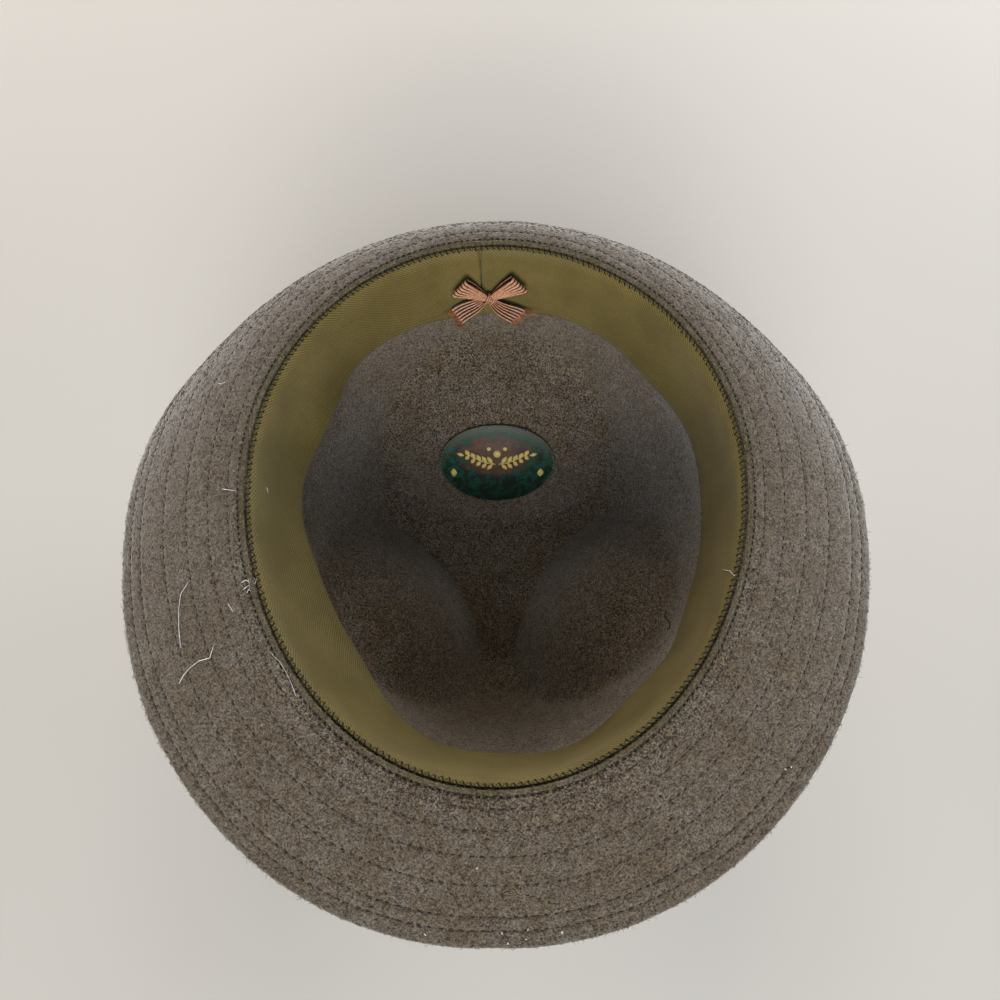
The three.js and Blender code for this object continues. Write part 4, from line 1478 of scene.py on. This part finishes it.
# %% Thread round the label's edge
EDGE_THREADS = 150
EDGE_THREAD_RADIUS = 0.00015
EDGE_THREAD_SHARES = np.array([0.962, 0.98, 0.999])
EDGE_THREAD_HEIGHTS = np.array([0.00004, 0.00016, 0.0])
EDGE_THREAD_SLANT = 0.6
edge_thread_paths = []
for turn in np.linspace(0, 2 * math.pi, EDGE_THREADS + 1)[:-1]:
    slanted = turn + (EDGE_THREAD_SHARES - 0.96) * EDGE_THREAD_SLANT
    x = LABEL_WIDTH / 2 * EDGE_THREAD_SHARES * np.cos(slanted)
    y = LABEL_LENGTH / 2 * EDGE_THREAD_SHARES * np.sin(slanted)
    edge_thread_paths.append(pressed(x, y, LABEL_TOP + EDGE_THREAD_HEIGHTS))
label_edge_threads = tube_mesh("label_edge_threads", edge_thread_paths, EDGE_THREAD_RADIUS)
pale_thread = thread_material("pale_thread", colour(128, 126, 112), colour(188, 184, 168))
finish_piece(label_edge_threads, pale_thread, "label_cloth")

# %% [markdown]
# ## Loose fibres
# Wool felt is never smooth: short fibres lie on it and some stand up, which blurs its outline
# and breaks up the stitch rows. There are more than a hundred thousand, so each is a sliver
# with four faces, thin at both ends and raised in the middle. They are scattered over the
# faces by area, and each keeps a tone that its material turns into dark or pale wool.

# %% Scattering on the felt
chooser = np.random.default_rng(20)


def face_triangles(piece):
    """Corners of a mesh's triangles, and the face that each belongs to."""
    count = triangles(piece)
    corners = np.empty(count * 3, np.int32)
    owners = np.empty(count, np.int32)
    piece.data.loop_triangles.foreach_get("vertices", corners)
    piece.data.loop_triangles.foreach_get("polygon_index", owners)
    return coordinates(piece)[corners.reshape(-1, 3)], owners


def scattered(corners, count):
    """Random spots on triangles, even by area, with their upward directions."""
    edge_a = corners[:, 1] - corners[:, 0]
    edge_b = corners[:, 2] - corners[:, 0]
    cross = np.cross(edge_a, edge_b)
    area = np.linalg.norm(cross, axis=1)
    pick = chooser.choice(len(corners), count, p=area / area.sum())
    first, second = chooser.random((2, count))
    outside = first + second > 1
    first[outside], second[outside] = 1 - first[outside], 1 - second[outside]
    spots = corners[pick, 0] + edge_a[pick] * first[:, None] + edge_b[pick] * second[:, None]
    return spots, cross[pick] / area[pick][:, None]


def unit(rows):
    """Rows scaled to a length of one."""
    return rows / np.maximum(np.linalg.norm(rows, axis=1, keepdims=True), 1e-12)


# %% Strands of four faces
FLOOR_CLEARANCE = 0.00005
STRAND_ROOT = 0.00006


def strand_mesh(name, spots, upward, along, length, width, lift, tone):
    """One mesh of closed slivers, with the tone of each kept as an attribute."""
    side = unit(np.cross(upward, along))
    start = spots - upward * STRAND_ROOT
    end = start + along * length[:, None]
    middle = (start + end) / 2 + upward * lift[:, None]
    half = side * width[:, None] / 2
    corners = np.stack([start, end, middle - half, middle + half], axis=1).reshape(-1, 3)
    corners[:, 2] = np.maximum(corners[:, 2], FLOOR_CLEARANCE)
    first = np.arange(len(spots))[:, None] * 4
    shape = np.array([0, 3, 1, 0, 1, 2, 1, 3, 2, 3, 0, 2])
    loops = (first + shape).ravel()
    mesh = bpy.data.meshes.new(name)
    mesh.vertices.add(len(corners))
    mesh.vertices.foreach_set("co", corners.astype(np.float32).ravel())
    mesh.loops.add(len(loops))
    mesh.loops.foreach_set("vertex_index", loops.astype(np.int32))
    mesh.polygons.add(len(loops) // 3)
    mesh.polygons.foreach_set("loop_start", np.arange(0, len(loops), 3, dtype=np.int32))
    mesh.update(calc_edges=True)
    piece = bpy.data.objects.new(name, mesh)
    bpy.context.scene.collection.objects.link(piece)
    point_attribute(piece, "tone", np.repeat(tone, 4))
    return piece


# Ranges in metres and radians for the fibres that lie and for those that stand
LYING = {"rise": (0, 0.1), "length": (0.0008, 0.0022), "width": (0.00008, 0.00016),
         "lift": (0.00006, 0.00018)}
STANDING = {"rise": (0.25, 1.3), "length": (0.0005, 0.0016), "width": 0.00006, "lift": 0.00005}


def felt_strands(name, corners, count, stray_share, round_the_hat):
    """Fibres on part of the felt: most lie down, a share of them stands up."""
    spots, upward = scattered(corners, count)
    wild = chooser.normal(size=(count, 3))
    around = np.cross(upward, spots - POLE - HAT_SHIFT)
    wild += round_the_hat * unit(around) * np.sign(chooser.normal(size=(count, 1)))
    lying = unit(wild - upward * (wild * upward).sum(1, keepdims=True))
    standing = chooser.random(count) < stray_share
    rise = np.where(standing, chooser.uniform(*STANDING["rise"], count),
                    chooser.uniform(*LYING["rise"], count))
    along = lying * np.cos(rise)[:, None] + upward * np.sin(rise)[:, None]
    length = np.where(standing, chooser.uniform(*STANDING["length"], count),
                      chooser.uniform(*LYING["length"], count))
    width = np.where(standing, STANDING["width"], chooser.uniform(*LYING["width"], count))
    lift = np.where(standing, STANDING["lift"], chooser.uniform(*LYING["lift"], count))
    return strand_mesh(name, spots, upward, along, length, width, lift, chooser.random(count))


# %% Fibres over the brim, the crown and the worn side
felt_corners, felt_owners = face_triangles(felt_body)
middles = felt_corners.mean(1) - HAT_SHIFT
turns = np.arctan2((middles[:, 1] - WIDEST_BEHIND_MIDDLE) / HALF_LENGTH, middles[:, 0] / HALF_WIDTH)
reach = np.hypot(middles[:, 0] / HALF_WIDTH,
                 (middles[:, 1] - WIDEST_BEHIND_MIDDLE) / oval_length(turns))
head_side = (felt_owners >= felt_grid_faces) & (felt_owners < 2 * felt_grid_faces)
cut_edge = felt_owners >= 2 * felt_grid_faces
worn_side = felt_owners < felt_grid_faces
CROWN_EDGE = 0.99

fibre_material, fibre_tree, fibre_shader = new_material(
    "loose_wool", colour(104, 94, 82), 0.9, specular=0.15)
fibre_tone = kept_mask(fibre_tree, "tone")
fibre_patch = ranged(fibre_tree, noise_at(fibre_tree, object_place(fibre_tree), 150.0), 0.4, 0.6)
fibre_dark = mixed(fibre_tree, fibre_patch, colour(48, 40, 30), colour(62, 56, 50))
fibre_pale = mixed(fibre_tree, fibre_patch, colour(132, 116, 94), colour(150, 141, 131))
link_look(fibre_tree, fibre_shader,
          mixed(fibre_tree, ranged(fibre_tree, fibre_tone, 0.1, 0.9), fibre_dark, fibre_pale))
FELT_FIBRES = [
    {"name": "fibres_brim", "faces": head_side & (reach > CROWN_EDGE), "count": 46000,
     "stray": 0.10, "round": 1.6},
    {"name": "fibres_crown", "faces": head_side & (reach <= CROWN_EDGE), "count": 40000,
     "stray": 0.06, "round": 0.0},
    {"name": "fibres_worn_side", "faces": worn_side, "count": 36000, "stray": 0.12, "round": 0.4},
    {"name": "fibres_cut_edge", "faces": cut_edge, "count": 5000, "stray": 0.5, "round": 1.0},
]
for part in FELT_FIBRES:
    fibres = felt_strands(part["name"], felt_corners[part["faces"]], part["count"],
                          part["stray"], part["round"])
    finish_piece(fibres, fibre_material, "felt")
cord_fibres, cord_fibre_tree, cord_fibre_shader = new_material(
    "loose_olive_wool", colour(88, 80, 58), 0.9, specular=0.15)
cord_tone = kept_mask(cord_fibre_tree, "tone")
link_look(cord_fibre_tree, cord_fibre_shader,
          mixed(cord_fibre_tree, cord_tone, colour(52, 49, 36), colour(146, 139, 116)))
finish_piece(felt_strands("fibres_cord", face_triangles(edge_cord)[0], 6000, 0.2, 0.6),
             cord_fibres, "grosgrain")

# %% [markdown]
# ## Lint
# A few pale hairs and specks have settled on the felt. They lie where the photograph shows
# them: each pixel is followed from the camera until it meets the felt or the band, and the
# hair is laid there. From every other side they still rest on the hat.

# %% Lint
LINT_HAIRS = [
    [(190, 580), (181, 594), (179, 609), (179, 628), (181, 648)],
    [(214, 645), (210, 658), (199, 661), (190, 668), (184, 675), (179, 684)],
    [(271, 653), (280, 662), (287, 674), (292, 685), (296, 696)],
    [(723, 570), (730, 571), (735, 576), (740, 582), (741, 589), (737, 599)],
    [(218, 384), (222, 384), (226, 382)],
    [(222, 489), (229, 490), (236, 491)],
    [(228, 604), (231, 608), (233, 612)],
    [(266, 487), (268, 493)],
    [(241, 583), (246, 580), (251, 583), (249, 590), (255, 592)],
    [(243, 590), (248, 586), (254, 585), (257, 579)],
    [(247, 593), (250, 587), (248, 578), (253, 572)],
    [(252, 590), (256, 583), (253, 576)],
]
LINT_SPECKS = [(425, 934), (508, 943), (526, 939), (562, 932), (528, 929), (502, 933),
               (477, 868), (785, 769), (791, 767)]
HAIR_RADIUS = 0.00013
HAIR_HEIGHT = 0.0002
SPECK_STRANDS = 5
SPECK_SPREAD = 0.00035
SPECK_RADIUS = 0.00016
band_surface = ray_surface(sweatband)


def seen_place(x, y):
    """Nearest point of felt or band under a pixel of the photograph, and its normal."""
    ray = pixel_ray(x, y)
    hits = [tree.ray_cast(camera_place, ray) for tree in (felt_surface, band_surface)]
    hits = [hit for hit in hits if hit[0] is not None]
    place, normal, face, distance = min(hits, key=lambda hit: hit[3])
    return place, normal * (-1 if normal.dot(ray) > 0 else 1)


def hair_path(pixels, height):
    """A hair through pixels, laid a little over whatever lies under them."""
    path = []
    for (x0, y0), (x1, y1) in zip(pixels, pixels[1:]):
        for share in (0, 1 / 3, 2 / 3):
            place, normal = seen_place(x0 + (x1 - x0) * share, y0 + (y1 - y0) * share)
            path.append(place + normal * height)
    place, normal = seen_place(*pixels[-1])
    return [*path, place + normal * height * 0.3]


lint_material, lint_tree, lint_shader = new_material(
    "lint", colour(190, 188, 186), 0.7, specular=0.3)
lint_grain = noise_at(lint_tree, object_place(lint_tree), 400.0)
link_look(lint_tree, lint_shader,
          two_tones(lint_tree, lint_grain, colour(196, 194, 196), colour(240, 241, 246)))
finish_piece(tube_mesh("lint_hairs", [hair_path(hair, HAIR_HEIGHT) for hair in LINT_HAIRS],
                       HAIR_RADIUS), lint_material, "felt")

random.seed(8)
speck_paths = []
for x, y in LINT_SPECKS:
    place, normal = seen_place(x, y)
    for strand in range(SPECK_STRANDS):
        stray = Vector([random.uniform(-1, 1) for axis in range(3)]) * SPECK_SPREAD
        speck_paths.append([place + normal * 0.0002 - stray, place + normal * 0.0003,
                            place + normal * 0.0002 + stray])
finish_piece(tube_mesh("lint_specks", speck_paths, SPECK_RADIUS), lint_material, "felt")

# %% Dark stitch mark in the crown
STITCH_MARK = [(664, 615), (667, 619), (670, 623), (670, 628), (667, 630)]
MARK_HEIGHT = 0.0001
MARK_RADIUS = 0.00025
finish_piece(tube_mesh("crown_stitch_mark", [hair_path(STITCH_MARK, MARK_HEIGHT)], MARK_RADIUS),
             dark_thread, "felt")

# %% End of the scene
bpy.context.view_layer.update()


print("triangles in all:", sum(triangles(item) for item in bpy.data.objects
                               if item.type == "MESH" and not item.hide_render))
